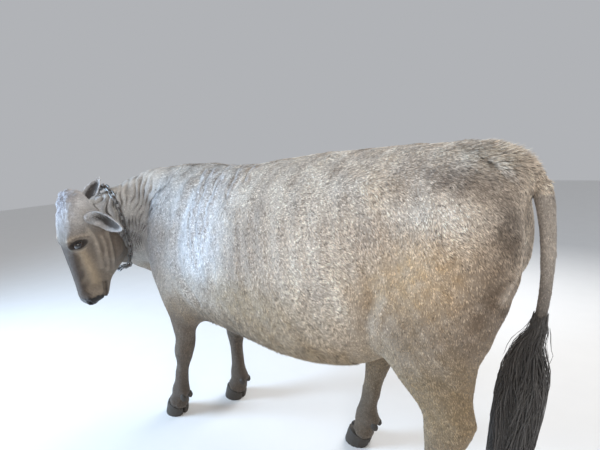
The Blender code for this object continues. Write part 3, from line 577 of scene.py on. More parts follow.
def coat_material():
    """Hair and skin that carry the same painted colour, broken into fine specks."""
    made = Finish("speckled_coat", Sheen_Weight=0.14, Sheen_Roughness=0.5, Specular_IOR_Level=0.25)
    colour = made.attribute("coat_colour_and_shade")
    made.set("Roughness", made.attribute("coat_colour_and_shade", "Alpha") * 0.44 + 0.28)
    fine = made.noise(170.0, 3.0)
    patch = made.noise(38.0, 2.0)
    shade = fine * 0.6 + patch * 0.4 + 0.5
    grey = made.node("ShaderNodeCombineColor", {}, {0: shade, 1: shade, 2: shade})
    made.set("Base Color", made.mix(1.0, colour, grey, "MULTIPLY"))
    made.bump(made.noise(260.0, 4.0, 0.6) + made.noise(90.0, 2.0) * 1.6, 0.55, 0.003)
    return made.material


def hoof_material():
    made = Finish("hoof_horn", Specular_IOR_Level=0.35)
    bands = made.node("ShaderNodeTexWave", {"bands_direction": "Z"}, {
        "Vector": made.place(), "Scale": 42.0, "Distortion": 3.0, "Detail": 3.0, "Detail Scale": 2.0}, "Fac")
    grime = made.noise(24.0, 4.0)
    colour = tuple(bpy.context.scene.bull_colours.hoof) + (1.0,)
    worn = (0.105, 0.088, 0.070, 1.0)
    made.set("Base Color", made.mix(bands * 0.16 + grime * 0.42, colour, worn))
    made.set("Roughness", grime * 0.35 + 0.42)
    made.bump(bands * 0.5 + made.noise(130.0, 4.0), 0.45, 0.0008)
    return made.material


def eye_material():
    made = Finish("wet_eye", Roughness=0.06, Coat_Weight=1.0, Coat_Roughness=0.02)
    colour = made.attribute("coat_colour_and_shade")
    fleck = made.noise(420.0, 2.0)
    made.set("Base Color", made.mix(fleck * 0.35, colour, (0.004, 0.003, 0.003, 1.0)))
    made.bump(made.noise(300.0), 0.02, 0.0002)
    return made.material


def chain_material():
    made = Finish("worn_steel_chain")
    grime = made.noise(95.0, 4.0, 0.65)
    colour = tuple(bpy.context.scene.bull_colours.chain) + (1.0,)
    rust = made.node("ShaderNodeMapRange", {}, {0: made.noise(33.0, 4.0), 1: 0.48, 2: 0.68})
    made.set("Base Color", made.mix(rust * 0.75, colour, (0.09, 0.045, 0.025, 1.0)))
    made.set("Metallic", 0.95 - rust * 0.8)
    made.set("Roughness", grime * 0.45 + 0.22)
    made.bump(grime, 0.35, 0.0006)
    return made.material


def floor_material():
    made = Finish("pale_floor", Roughness=0.9)
    made.set("Base Color", made.mix(made.noise(5.0), (0.78, 0.775, 0.765, 1.0), (0.82, 0.815, 0.805, 1.0)))
    return made.material


# Folds of the hide behind the shoulder, each a ridge with a groove behind it.
WRINKLES = (
    ((-0.097, -0.271, 1.367), (0.074, -0.162, 1.312), (0.145, -0.157, 1.236), (0.192, -0.160, 1.138),
     (0.211, -0.184, 1.034)),
    ((-0.062, -0.152, 1.367), (0.075, -0.076, 1.321), (0.142, -0.062, 1.258)),
    ((-0.014, -0.047, 1.368), (0.099, 0.003, 1.315)),
    ((0.017, -0.207, 1.342), (0.114, -0.180, 1.273), (0.165, -0.176, 1.196), (0.201, -0.168, 1.097)),
    ((-0.005, -0.297, 1.350), (0.109, -0.238, 1.272), (0.159, -0.228, 1.192), (0.194, -0.221, 1.091)),
    ((-0.001, -0.347, 1.351), (0.105, -0.289, 1.270), (0.157, -0.279, 1.181), (0.194, -0.266, 1.065),
     (0.208, -0.238, 0.961)),
)
TAIL_ROOT_EDGE = ((0.010, 0.850, 1.365), (0.028, 0.890, 1.343), (0.036, 0.919, 1.319), (0.031, 0.944, 1.289),
                  (0.010, 0.955, 1.262))
SHOULDER_BLADE = ((0.065, -0.388, 1.311), (0.131, -0.389, 1.226), (0.170, -0.415, 1.116),
                  (0.183, -0.449, 0.997), (0.190, -0.414, 0.859), (0.175, -0.339, 0.770))
FLANK_FOLD = ((0.206, 0.635, 0.971), (0.191, 0.594, 0.859), (0.149, 0.590, 0.770))
BUTTOCK_EDGE = ((0.035, 0.950, 1.271), (0.036, 0.969, 1.217), (0.042, 0.976, 1.150), (0.070, 0.968, 1.095),
                (0.140, 0.941, 1.007))


def near_neck_of(points, part):
    """One on the neck, fading out over the front of the shoulder."""
    beside = near(points, (0.05, -0.56, 1.12), (0.16, 0.13, 0.26)) * ~np.isin(part, ["head"] + EARS)
    return np.clip(np.isin(part, ["neck"]) + beside, 0, 1)


def neck_folds(points, near_neck):
    """Folds of loose skin on the neck's left side, from the crest down to the throat."""
    run = points @ np.array((0.76, -0.65, 0.0)) + 0.006 * wavy(points, 0.12, 21)
    rise = np.clip(points[:, 2] - 1.2, -0.20, 0.16)
    where = (run + 1.948 * rise) / (1 + 2.9 * rise)
    left = smoothstep(-0.07, 0.04, (points[:, :2] - np.array((0.09, -0.70))) @ np.array((0.65, 0.76)))
    strength = smoothstep(0.43, 0.50, where) * smoothstep(0.80, 0.70, where) * (0.2 + 0.8 * left) * near_neck
    strength *= 0.75 + 0.45 * wavy(points, 0.13, 22)
    phase = where / 0.0245 + 0.25 * wavy(points, 0.09, 23)
    valley = np.exp(-((phase - np.round(phase)) / 0.23) ** 2) * (0.8 + 0.35 * wavy(points, 0.07, 24))
    return np.clip(strength, 0, 1.2) * (0.45 - 1.35 * valley)


def sculpt(points, part):
    """How far each point of the skin moves along its normal."""
    settings = bpy.context.scene.bull_skin
    head = np.isin(part, ["head"])
    body = ~head
    local = in_head(points)
    thick = np.where(np.isin(part, LEGS), smoothstep(0.40, 0.80, points[:, 2]), 1.0)
    move = -0.002 - (settings.inset - 0.002) * thick
    move[head] = -0.0025
    move += 0.0090 * smoothstep(0.125, 0.092, points[:, 2]) * np.isin(part, LEGS)
    move += settings.fold_depth * neck_folds(points, near_neck_of(points, part))
    for line in WRINKLES:
        move += 0.005 * near_line(points, line, 0.012)
        move -= 0.009 * near_line(points + np.array((0, 0.022, 0)), line, 0.009)
    # muscle and bone under the hide
    move += body * 0.010 * near(points, (0.14, 0.71, 1.33), (0.05, 0.06, 0.05))
    move -= body * 0.012 * near(points, (0.20, 0.58, 1.26), (0.06, 0.12, 0.07))
    move += body * 0.010 * near(points, (0.20, 0.80, 1.10), (0.10, 0.10, 0.14))
    move += body * 0.006 * near_line(points, BUTTOCK_EDGE, 0.016)
    move -= body * 0.007 * near_line(points + np.array((0, 0.035, 0)), BUTTOCK_EDGE, 0.014)
    move -= body * 0.010 * near_line(points, ((0.20, -0.06, 1.14), (0.21, -0.10, 0.98), (0.20, -0.14, 0.84)), 0.035)
    move -= body * 0.009 * near_line(points, TAIL_ROOT_EDGE, 0.013)
    move += body * 0.008 * near_line(points, SHOULDER_BLADE, 0.026)
    move -= body * 0.009 * near_line(points - np.array((0, 0.055, 0)), SHOULDER_BLADE, 0.024)
    move += body * 0.008 * near_line(points, FLANK_FOLD, 0.016)
    move -= body * 0.010 * near_line(points + np.array((0, 0.040, 0)), FLANK_FOLD, 0.020)
    for row in range(7):
        along = 0.02 + 0.075 * row
        rib = ((0.20, along, 1.20), (0.25, along + 0.03, 1.06), (0.25, along + 0.05, 0.92))
        move += body * 0.0025 * near_line(points, rib, 0.020)
    move += body * 0.0025 * wavy(points, 0.11, 31)
    # the head's bones and folds, given in its own axes
    for side in (1, -1):
        def ridge(height, width, *line):
            return head * height * near_line(local, [(side * x, y, z) for x, y, z in line], width)

        move += ridge(0.005, 0.013, (0.098, 0.185, -0.012), (0.104, 0.210, -0.010), (0.094, 0.255, -0.012))
        move -= ridge(0.005, 0.012, (0.086, 0.170, 0.000), (0.090, 0.215, 0.004), (0.082, 0.270, -0.002))
        move += ridge(0.006, 0.015, (0.100, 0.29, -0.06), (0.082, 0.37, -0.08), (0.070, 0.43, -0.085))
        move -= ridge(0.006, 0.016, (0.088, 0.30, -0.035), (0.068, 0.40, -0.045), (0.058, 0.47, -0.05))
        move -= head * 0.007 * near(local, (side * 0.095, 0.16, -0.12), (0.03, 0.04, 0.05))
        nostril = from_nostril(local, side)
        move -= head * 0.0150 * smoothstep(1.15, 0.35, nostril)
        move += head * 0.0040 * np.exp(-((nostril - 1.55) / 0.38) ** 2)
        move -= head * 0.0085 * near_line(local, mouth_side(side), 0.0048)
        move += head * 0.0040 * near_line(local, mouth_side(side, 0.014), 0.0085)
        move += head * 0.0045 * near_line(local, mouth_side(side, -0.014), 0.0085)
        for fold in CHEEK_FOLDS:
            move += ridge(0.0075, 0.013, *fold)
            move -= ridge(0.0080, 0.009, *[(x, y + 0.003, z - 0.020) for x, y, z in fold])
        # fine folds round the eye
        for step in range(3):
            reach = 0.040 + 0.008 * step
            arc = [(0.100 - 0.02 * step, 0.236 + reach * math.cos(turn), -0.050 + reach * math.sin(turn))
                   for turn in (2.4, 2.9, 3.4, 3.9, 4.4, 4.9)]
            move -= ridge(0.0022, 0.0035, *arc)
    move -= head * 0.0035 * near_line(local, ((0, 0.535, -0.060), (0, 0.530, -0.105)), 0.0045)
    move += head * 0.0016 * wavy(local, 0.012, 45) * near(local, (0, 0.50, -0.08), (0.09, 0.05, 0.08))
    move += head * 0.0065 * wavy(local, 0.032, 41) * near(local, (0, 0.02, -0.02), (0.11, 0.09, 0.10))
    return move


# The lids in rows from the slit outwards: the share of the way, and the height over the ball in mm.
LID_ROWS = ((-0.16, 0.0), (-0.05, 0.7), (0.03, 1.7), (0.12, 2.5), (0.26, 2.8), (0.36, 2.1), (0.44, 1.6),
            (0.54, 3.0), (0.70, 4.9), (0.85, 4.6), (0.97, 2.6), (1.08, -1.5), (1.18, -5.0))


def lid_shell(side, centre, out):
    """The two lids of an eye as one closed ring of skin with an almond opening."""
    along, above = slit_ways(side, out)
    around = 72
    wide = 1.50
    shape = bmesh.new()
    rings = []
    for share, rise in LID_ROWS:
        ring = []
        for index in range(around):
            turn = 2 * math.pi * index / around
            length = math.cos(turn)
            height = math.copysign(abs(math.sin(turn)) ** 1.15, math.sin(turn))
            half = 0.70 if height > 0 else 0.50
            slit = math.hypot(1.22 * length, half * height * (1 - 0.22 * length * length))
            polar = slit + max(share, -0.1) * (wide - slit) + min(share + 0.1, 0) * 0.6
            fleshy = 1.0 if height > 0 else 0.7
            radius = EYE_RADIUS + 0.001 * (rise * fleshy if rise > 0 else rise)
            way = out * math.cos(polar) + (along * length + above * height).normalized() * math.sin(polar)
            ring.append(shape.verts.new(centre + way * radius))
        rings.append(ring)
    inner = []
    for index in range(around):
        turn = 2 * math.pi * index / around
        way = out * 0.1 + (along * math.cos(turn) + above * math.sin(turn))
        inner.append(shape.verts.new(centre + way.normalized() * (EYE_RADIUS - 0.006)))
    rings.append(inner)
    for before, after in zip(rings, rings[1:] + rings[:1]):
        for index in range(around):
            following = (index + 1) % around
            shape.faces.new((before[index], before[following], after[following], after[index]))
    bmesh.ops.recalc_face_normals(shape, faces=shape.faces)
    return shape


def tail_skin():
    """The tail's own skin, whose upper end runs on into the rump."""
    mesh = remeshed(TAIL, 0.006, 0.0015)
    points = smoothed(coordinates(mesh), edges(mesh), np.full(len(mesh.vertices), 0.4), 8)
    place_points(mesh, points)
    points = points - normals(mesh) * 0.0045
    points += smoothstep(1.225, 1.262, points[:, 2])[:, None] * np.array((0.0, -0.014, 0.040))
    place_points(mesh, points)
    return mesh


class BULL_OT_skin(bpy.types.Operator):
    """Make the hide as one closed skin over the flesh"""
    bl_idname = "bull.skin"
    bl_label = "Skin"

    def execute(self, context):
        settings = context.scene.bull_skin
        names = TRUNK + LEGS
        mesh = remeshed(names, settings.cell, 0.0025)
        points = coordinates(mesh)
        part = np.array(names)[owners_of(points, names)]
        amount = np.full(len(points), 0.5)
        amount[np.isin(part, ["head"])] = 0.16
        amount[np.isin(part, ["neck"])] = 0.40
        amount[np.isin(part, ["scrotum"])] = 0.25
        upper = np.isin(part, LEGS)
        amount[upper] = 0.10 + 0.30 * smoothstep(0.45, 0.75, points[upper, 2])
        amount = smoothed(amount[:, None].repeat(3, axis=1), edges(mesh), np.full(len(points), 0.5), 6)[:, 0]
        points = smoothed(points, edges(mesh), amount, 16)
        place_points(mesh, points)
        local = in_head(points)
        fine = np.isin(part, ["head"]) | (np.isin(part, ["neck"]) & (points[:, 2] > 0.85))
        shoulder = (points[:, 0] > -0.12) & (points[:, 2] > 0.90) & (points[:, 1] > -0.40) & (points[:, 1] < 0.03)
        fine |= np.isin(part, ["torso"]) & shoulder
        refined(mesh, fine)
        points = coordinates(mesh)
        local = in_head(points)
        part = np.array(names)[owners_of(points, names)]
        face = np.isin(part, ["head"]) & (local[:, 1] > 0.43)
        for side, centre, out in eye_places():
            face |= np.linalg.norm(points - np.array(centre), axis=1) < 0.06
        face |= np.isin(part, ["neck"]) & (points[:, 1] > -0.80) & (points[:, 0] > 0.0) & (points[:, 2] > 0.95)
        refined(mesh, face)
        points = coordinates(mesh)
        part = np.array(names)[owners_of(points, names)]
        head = np.isin(part, ["head"])
        points = smoothed(points, edges(mesh), np.where(head, 0.45, 0.3), 5)
        place_points(mesh, points)
        points = points + normals(mesh) * sculpt(points, part)[:, None]
        for side, centre, out in eye_places():
            offset = points - np.array(centre)
            reach = np.maximum(np.linalg.norm(offset, axis=1), 1e-6)
            facing = offset @ np.array(out) / reach
            hollow = smoothstep(0.15, 0.62, facing) * (reach < EYE_RADIUS * 1.9)
            wanted = EYE_RADIUS - 0.007
            pull = (wanted / reach - 1) * hollow
            points = points + offset * pull[:, None]
        place_points(mesh, points)
        whole = bmesh.new()
        whole.from_mesh(mesh)
        for side, centre, out in eye_places():
            lids = lid_shell(side, centre, out)
            lid_mesh = bpy.data.meshes.new("lids")
            lids.to_mesh(lid_mesh)
            lids.free()
            whole.from_mesh(lid_mesh)
        for name in EARS:
            ear = remeshed([name], 0.0034, 0.0)
            shape = smoothed(coordinates(ear), edges(ear), np.full(len(ear.vertices), 0.4), 3)
            place_points(ear, shape)
            whole.from_mesh(ear)
        whole.from_mesh(tail_skin())
        whole.to_mesh(mesh)
        whole.free()
        points = coordinates(mesh)
        every = names + EARS + TAIL
        part = np.array(every)[owners_of(points, every)]
        colour = mixed(coat_colour_and_shade(points, part), (0.05, 0.04, 0.035), in_ear(points, normals(mesh), part) * 0.95)
        smooth = np.isin(part, ["head"] + EARS)
        wet = nose_pad(in_head(points)) * np.isin(part, ["head"])
        paint(mesh, colour * np.where(smooth, 0.85, 0.70)[:, None], 1 - wet)
        skin = piece_from("skin", mesh, coat_material())
        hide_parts(*every)
        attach(skin, "root")
        return {"FINISHED"}


def roots_on(mesh, chosen, count, draw):
    """Random places on the chosen faces of a mesh, evenly by area, with the normal at each."""
    mesh.calc_loop_triangles()
    corners = np.empty(len(mesh.loop_triangles) * 3, dtype=np.int32)
    mesh.loop_triangles.foreach_get("vertices", corners)
    corners = corners.reshape(-1, 3)
    points = coordinates(mesh)
    ways = normals(mesh)
    weight = chosen[corners].mean(axis=1)
    one, two, three = (points[corners[:, index]] for index in range(3))
    area = np.linalg.norm(np.cross(two - one, three - one), axis=1) * weight
    faces = draw.choice(len(area), size=count, p=area / area.sum())
    first = np.sqrt(draw.random(count))
    second = draw.random(count)
    shares = np.stack((1 - first, first * (1 - second), first * second), axis=1)
    root = np.einsum("nk,nkj->nj", shares, points[corners[faces]])
    way = unit(np.einsum("nk,nkj->nj", shares, ways[corners[faces]]))
    return root, way


def lie_of(points, ways, part):
    """The way the hair lies at each place, along the skin."""
    flow = np.tile(np.array((0.0, 1.0, -0.42)), (len(points), 1))
    high = smoothstep(1.36, 1.15, points[:, 2])[:, None]
    flow[:, 2] = -0.12 - 0.65 * high[:, 0]
    rear = smoothstep(0.45, 0.85, points[:, 1])
    flow[:, 2] -= 0.9 * rear
    flow[np.isin(part, ["neck"])] = (-0.45, 0.65, -0.60)
    flow[np.isin(part, LEGS)] = (0.0, 0.22, -1.0)
    flow[np.isin(part, TAIL + ["scrotum"])] = (0.0, 0.05, -1.0)
    root_of_tail = near(points, (-0.08, 0.92, 1.38), (0.14, 0.12, 0.07))[:, None]
    flow = flow * (1 - root_of_tail) + np.array((-0.5, 0.9, -0.35)) * root_of_tail
    head = np.isin(part, ["head"])
    local = in_head(points)
    swirl = np.stack((local[:, 0] * 1.5, local[:, 1] - 0.15, (local[:, 2] - 0.02) * 0.6), axis=1)
    flow[head] = (swirl @ np.array(HEAD_AXES).T)[head]
    for name in EARS:
        flow[np.isin(part, [name])] = ear_frame(name)[0]
    flow = unit(flow)
    stir = np.stack([wavy(points, 0.09, 50 + axis) for axis in range(3)], axis=1) * 0.28
    flow = flow + stir
    flow = flow - ways * np.sum(flow * ways, axis=1)[:, None]
    return unit(flow)


def tufts(name, root, way, lie, length, width, lift, colour, patches, material, shade, curl):
    """Joined thin spindles of hair, each rooted in the skin, with its ridge along the lie."""
    count = len(root)
    side = unit(np.cross(way, lie))
    length = length[:, None]
    width = width[:, None]
    rise = length * lift[:, None] + 0.0007
    foot = root - way * 0.0004
    tip = root + lie * length + way * rise + side * (curl * length)
    middle = root + (tip - root) * 0.38 - way * width * 0.30
    points = np.stack((foot, middle - side * width * 0.5, middle + side * width * 0.5, tip), axis=1).reshape(-1, 3)
    pattern = np.array(((0, 1, 3), (0, 3, 2), (0, 2, 1), (3, 1, 2)))
    faces = (np.arange(count)[:, None, None] * 4 + pattern[None]).reshape(-1, 3)
    mesh = mesh_from(name, points, faces)
    gain = np.array((0.82, 0.98, 0.98, 1.12))
    tones = (colour * shade[:, None])[:, None, :] * gain[None, :, None]
    paint(mesh, np.clip(tones, 0, 0.95).reshape(-1, 3))
    patch_uvs(mesh, patches, faces, 4)
    return piece_from(name, mesh, material, smooth=False)


def mesh_from(name, points, faces):
    mesh = bpy.data.meshes.new(name)
    mesh.vertices.add(len(points))
    mesh.vertices.foreach_set("co", points.ravel())
    mesh.loops.add(faces.size)
    mesh.loops.foreach_set("vertex_index", faces.ravel().astype(np.int32))
    mesh.polygons.add(len(faces))
    mesh.polygons.foreach_set("loop_start", np.arange(len(faces), dtype=np.int32) * faces.shape[1])
    mesh.update(calc_edges=True)
    return mesh


def patch_uvs(mesh, patches, faces, per):
    """Each tuft gets a small patch of the map at its root's place on the unwrapped skin."""
    layer = mesh.uv_layers.new(name="OFBake")
    turn = np.arange(per) * (2 * math.pi / per)
    spot = np.stack((np.cos(turn), np.sin(turn)), axis=1) * 0.0015
    values = patches[faces // per] + spot[faces % per]
    layer.data.foreach_set("uv", np.clip(values, 0, 1).ravel())


class Unwrap:
    """A coarse copy of the skin, unwrapped, from which a place on the map is read."""
    made = None

    @classmethod
    def of(cls, skin):
        """The one unwrap of the skin, made when it is first asked for."""
        cls.made = cls.made or cls(skin)
        return cls.made

    def __init__(self, skin):
        piece = piece_from("unwrap", skin.data.copy(), None)
        change = piece.modifiers.new("Coarse", "REMESH")
        change.mode = "VOXEL"
        change.voxel_size = 0.028
        mesh = applied(piece)
        bpy.ops.object.select_all(action="DESELECT")
        piece.select_set(True)
        bpy.context.view_layer.objects.active = piece
        bpy.ops.object.mode_set(mode="EDIT")
        bpy.ops.mesh.select_all(action="SELECT")
        bpy.ops.uv.smart_project(angle_limit=1.15, island_margin=0.004)
        bpy.ops.object.mode_set(mode="OBJECT")
        mesh = piece.data
        self.points = [vert.co.copy() for vert in mesh.vertices]
        self.faces = [tuple(face.vertices) for face in mesh.polygons]
        layer = mesh.uv_layers.active.data
        self.uvs = [[tuple(layer[loop].uv) for loop in face.loop_indices] for face in mesh.polygons]
        self.tree = BVHTree.FromPolygons(self.points, self.faces)
        bpy.data.objects.remove(piece)

    def read(self, places):
        found = np.empty((len(places), 2))
        for index, place in enumerate(places):
            spot, _, face, _ = self.tree.find_nearest(place)
            weights = [1.0 / ((spot - self.points[vert]).length + 1e-5) for vert in self.faces[face]]
            total = sum(weights)
            found[index, 0] = sum(w * uv[0] for w, uv in zip(weights, self.uvs[face])) / total
            found[index, 1] = sum(w * uv[1] for w, uv in zip(weights, self.uvs[face])) / total
        return found


# Each part of the coat: its name, the solids it grows on, the half of the body, the number of tufts,
# the length, width and lift of a tuft as shares of those on the body, and how unlike in tone they are.
COATS = (
    ("coat_left_fore", ["torso"], "left_fore", 49000, 1.0, 1.0, 0.10, 0.32),
    ("coat_left_rear", ["torso"], "left_rear", 49000, 1.0, 1.0, 0.10, 0.32),
    ("coat_right_fore", ["torso"], "right_fore", 37000, 1.1, 1.15, 0.10, 0.30),
    ("coat_right_rear", ["torso"], "right_rear", 37000, 1.1, 1.15, 0.10, 0.30),
    ("coat_neck", ["neck"], "", 46000, 0.46, 0.60, 0.05, 0.18),
    ("coat_head", ["head"], "", 49000, 0.46, 0.46, 0.05, 0.15),
    ("coat_legs_left", [n for n in LEGS if "_left_" in n], "", 42000, 0.80, 0.90, 0.08, 0.26),
    ("coat_legs_right", [n for n in LEGS if "_right_" in n], "", 34000, 0.85, 0.95, 0.08, 0.26),
    ("coat_tail", TAIL + ["scrotum"], "", 12000, 0.62, 0.62, 0.06, 0.18),
    ("coat_ears", EARS, "", 9000, 0.60, 0.50, 0.10, 0.15),
)


def half_of(points, half):
    """One on the named quarter of the trunk."""
    keep = np.ones(len(points))
    middle = -0.11
    if half.startswith("left"):
        keep *= points[:, 0] > middle
    elif half.startswith("right"):
        keep *= points[:, 0] <= middle
    if half.endswith("fore"):
        keep *= points[:, 1] < 0.25
    elif half.endswith("rear"):
        keep *= points[:, 1] >= 0.25
    return keep


class BULL_OT_coat(bpy.types.Operator):
    """Grow the short speckled coat as thin tufts that lie along the skin"""
    bl_idname = "bull.coat"
    bl_label = "Coat"

    def execute(self, context):
        settings = context.scene.bull_coat
        skin = bpy.data.objects["skin"]
        mesh = skin.data
        material = mesh.materials[0]
        unwrap = Unwrap.of(skin)
        points = coordinates(mesh)
        every = TRUNK + LEGS + TAIL + EARS
        part = np.array(every)[owners_of(points, every)]
        local = in_head(points)
        bare = np.zeros(len(points))
        for side, centre, out in eye_places():
            bare = np.maximum(bare, (almond(points, side, centre, out) < 1.25)
                              & (np.linalg.norm(points - np.array(centre), axis=1) < 0.045))
            bare = np.maximum(bare, np.linalg.norm(points - np.array(centre), axis=1) < 0.0225)
        lips = np.maximum(near_line(local, mouth_side(1), 0.006), near_line(local, mouth_side(-1), 0.006))
        holes = np.minimum(from_nostril(local, 1), from_nostril(local, -1)) < 1.4
        muzzle = np.clip(nose_pad(local) * 1.5 + 1.5 * lips + holes, 0, 1)
        bare = np.maximum(bare, np.isin(part, ["head"]) * muzzle)
        bare = np.maximum(bare, in_ear(points, normals(mesh), part))
        draw = np.random.default_rng(SEED)
        for name, nodes, half, count, long, wide, lift, unlike in COATS:
            count = int(count * settings.fullness)
            chosen = np.isin(part, nodes) * (1 - bare) * half_of(points, half)
            root, way = roots_on(mesh, chosen, count, draw)
            owner = np.array(every)[owners_of(root, every)]
            lie = lie_of(root, way, owner)
            lie = unit(lie + np.cross(way, lie) * draw.normal(0, 0.22, count)[:, None])
            length = settings.length * long * draw.uniform(0.7, 1.3, count)
            width = settings.width * wide * draw.uniform(0.7, 1.25, count)
            rise = lift * draw.uniform(0.4, 1.7, count)
            length, width, rise = grown(root, owner, length, width, rise, draw)
            colour = coat_colour_and_shade(root, owner)
            clump = wavy(root, 0.022, 61) * 0.18 + wavy(root, 0.009, 62) * 0.14
            shade = np.clip(draw.normal(1.0, unlike, count) + clump * unlike / 0.25, 0.30, 1.65)
            piece = tufts(name, root, way, lie, length, width, rise, colour, unwrap.read(root), material, shade,
                          draw.normal(0, 0.12, count)[:, None])
            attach(piece, "root")
        for name, (paths, widths, tones) in (("eyelashes", lashes(draw)), ("ear_hair", ear_hair(mesh, part, draw))):
            piece = strands(name, paths, widths, tones, unwrap.read(paths[:, 0]), material)
            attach(piece, "root")
        return {"FINISHED"}


def lashes(draw):
    """Dark lashes along the edge of each upper lid, bent outwards and down."""
    steps = np.linspace(0, 1, 5)[None, :, None]
    every = []
    for side, centre, out in eye_places():
        along, above = (np.array(way) for way in slit_ways(side, out))
        out = np.array(out)
        turn = draw.uniform(0.25, 2.75, 110)[:, None, None]
        polar = np.hypot(1.22 * np.cos(turn), 0.72 * np.sin(turn) * (1 - 0.22 * np.cos(turn) ** 2)) + 0.04
        way = along * np.cos(turn) + above * np.sin(turn)
        root = np.array(centre) + (out * np.cos(polar) + way * np.sin(polar)) * (EYE_RADIUS + 0.0018)
        length = draw.uniform(0.009, 0.017, 110)[:, None, None]
        bend = out * 0.9 + way * (0.2 + 0.5 * steps) + along * draw.normal(0, 0.15, 110)[:, None, None]
        every.append(root + bend * length * steps - above * length * 0.35 * steps ** 2)
    paths = np.concatenate(every)
    return paths, draw.uniform(0.0005, 0.0009, len(paths)), np.tile((0.030, 0.024, 0.020), (len(paths), 1))


def ear_hair(mesh, part, draw):
    """Long pale hairs that cross the cup of each ear from its rims."""
    steps = np.linspace(0, 1, 6)[None, :, None]
    ways = normals(mesh)
    points = coordinates(mesh)
    every = []
    for name in EARS:
        along, opening, across = ear_frame(name)
        rim = np.isin(part, [name]) * smoothstep(0.85, 0.45, np.abs(ways @ opening))
        root, _ = roots_on(mesh, rim, 170, draw)
        middle = points[np.isin(part, [name])].mean(axis=0)
        inward = -np.sign((root - middle) @ across)[:, None] * across
        length = draw.uniform(0.012, 0.028, 170)[:, None, None]
        bend = along * 0.75 + inward * 0.55 + draw.normal(0, 0.16, (170, 3))
        path = root[:, None] + bend[:, None] * length * steps
        every.append(path + opening * length * (0.35 * steps - 0.15 * steps ** 2))
    paths = np.concatenate(every)
    tones = np.array((0.44, 0.40, 0.36)) * draw.uniform(0.7, 1.2, len(paths))[:, None]
    return paths, draw.uniform(0.0008, 0.0014, len(paths)), tones


def grown(root, owner, length, width, rise, draw):
    """Longer hair on the tail head, brisket and belly, and the shortest on the face and feet."""
    tail_head = near(root, (-0.08, 0.90, 1.38), (0.12, 0.15, 0.07))
    belly = smoothstep(0.80, 0.66, root[:, 2]) * np.isin(owner, ["torso"])
    brisket = near(root, (0.02, -0.74, 0.74), (0.12, 0.14, 0.14))
    poll = near(in_head(root), (0.0, 0.0, -0.03), (0.11, 0.075, 0.10)) * np.isin(owner, ["head"])
    fetlock = smoothstep(0.135, 0.09, root[:, 2]) * np.isin(owner, LEGS)
    longer = 1 + 1.3 * tail_head + 0.7 * belly + 0.5 * brisket + 0.9 * poll + 1.1 * fetlock
    head = np.isin(owner, ["head"])
    nose = smoothstep(0.25, 0.52, in_head(root)[:, 1]) * head
    foot = smoothstep(0.45, 0.12, root[:, 2]) * np.isin(owner, LEGS)
    shorter = (1 - 0.40 * nose) * (1 - 0.45 * foot)
    rise = rise + 0.55 * tail_head * draw.random(len(root)) + 0.30 * belly * draw.random(len(root))
    rise = rise + 0.30 * poll * draw.random(len(root))
    return length * longer * shorter, width * (1 - 0.3 * nose) * (1 - 0.25 * foot), rise


def strands(name, paths, widths, tones, patches, material):
    """Joined long thin locks, each along its own path of places."""
    count, steps, _ = paths.shape
    ahead = np.gradient(paths, axis=1)
    ahead = ahead / np.maximum(np.linalg.norm(ahead, axis=2), 1e-9)[:, :, None]
    first = np.cross(ahead, np.array((0.31, 0.17, 0.93)))
    first = first / np.maximum(np.linalg.norm(first, axis=2), 1e-9)[:, :, None]
    second = np.cross(ahead, first)
    share = np.linspace(0, 1, steps)
    taper = (np.minimum(1, 0.5 + 3 * share) * (1 - share ** 2.2) ** 0.8 + 0.02)[None, :, None]
    reach = widths[:, None, None] * taper * 0.5
    rings = [paths + first * reach, paths + second * reach * 0.55, paths - first * reach, paths - second * reach * 0.55]
    points = np.stack(rings, axis=2).reshape(-1, 3)
    per = steps * 4
    faces = []
    for step in range(steps - 1):
        for corner in range(4):
            nxt = (corner + 1) % 4
            low = step * 4
            faces.append((low + corner, low + nxt, low + 4 + nxt, low + 4 + corner))
    faces.append((3, 2, 1, 0))
    last = (steps - 1) * 4
    faces.append((last, last + 1, last + 2, last + 3))
    faces = (np.arange(count)[:, None, None] * per + np.array(faces)[None]).reshape(-1, 4)
    mesh = mesh_from(name, points, faces)
    gain = np.repeat(np.linspace(0.85, 1.12, steps), 4)
    paint(mesh, np.clip(tones[:, None, :] * gain[None, :, None], 0, 0.95).reshape(-1, 3))
    patch_uvs(mesh, patches, faces, per)
    return piece_from(name, mesh, material)


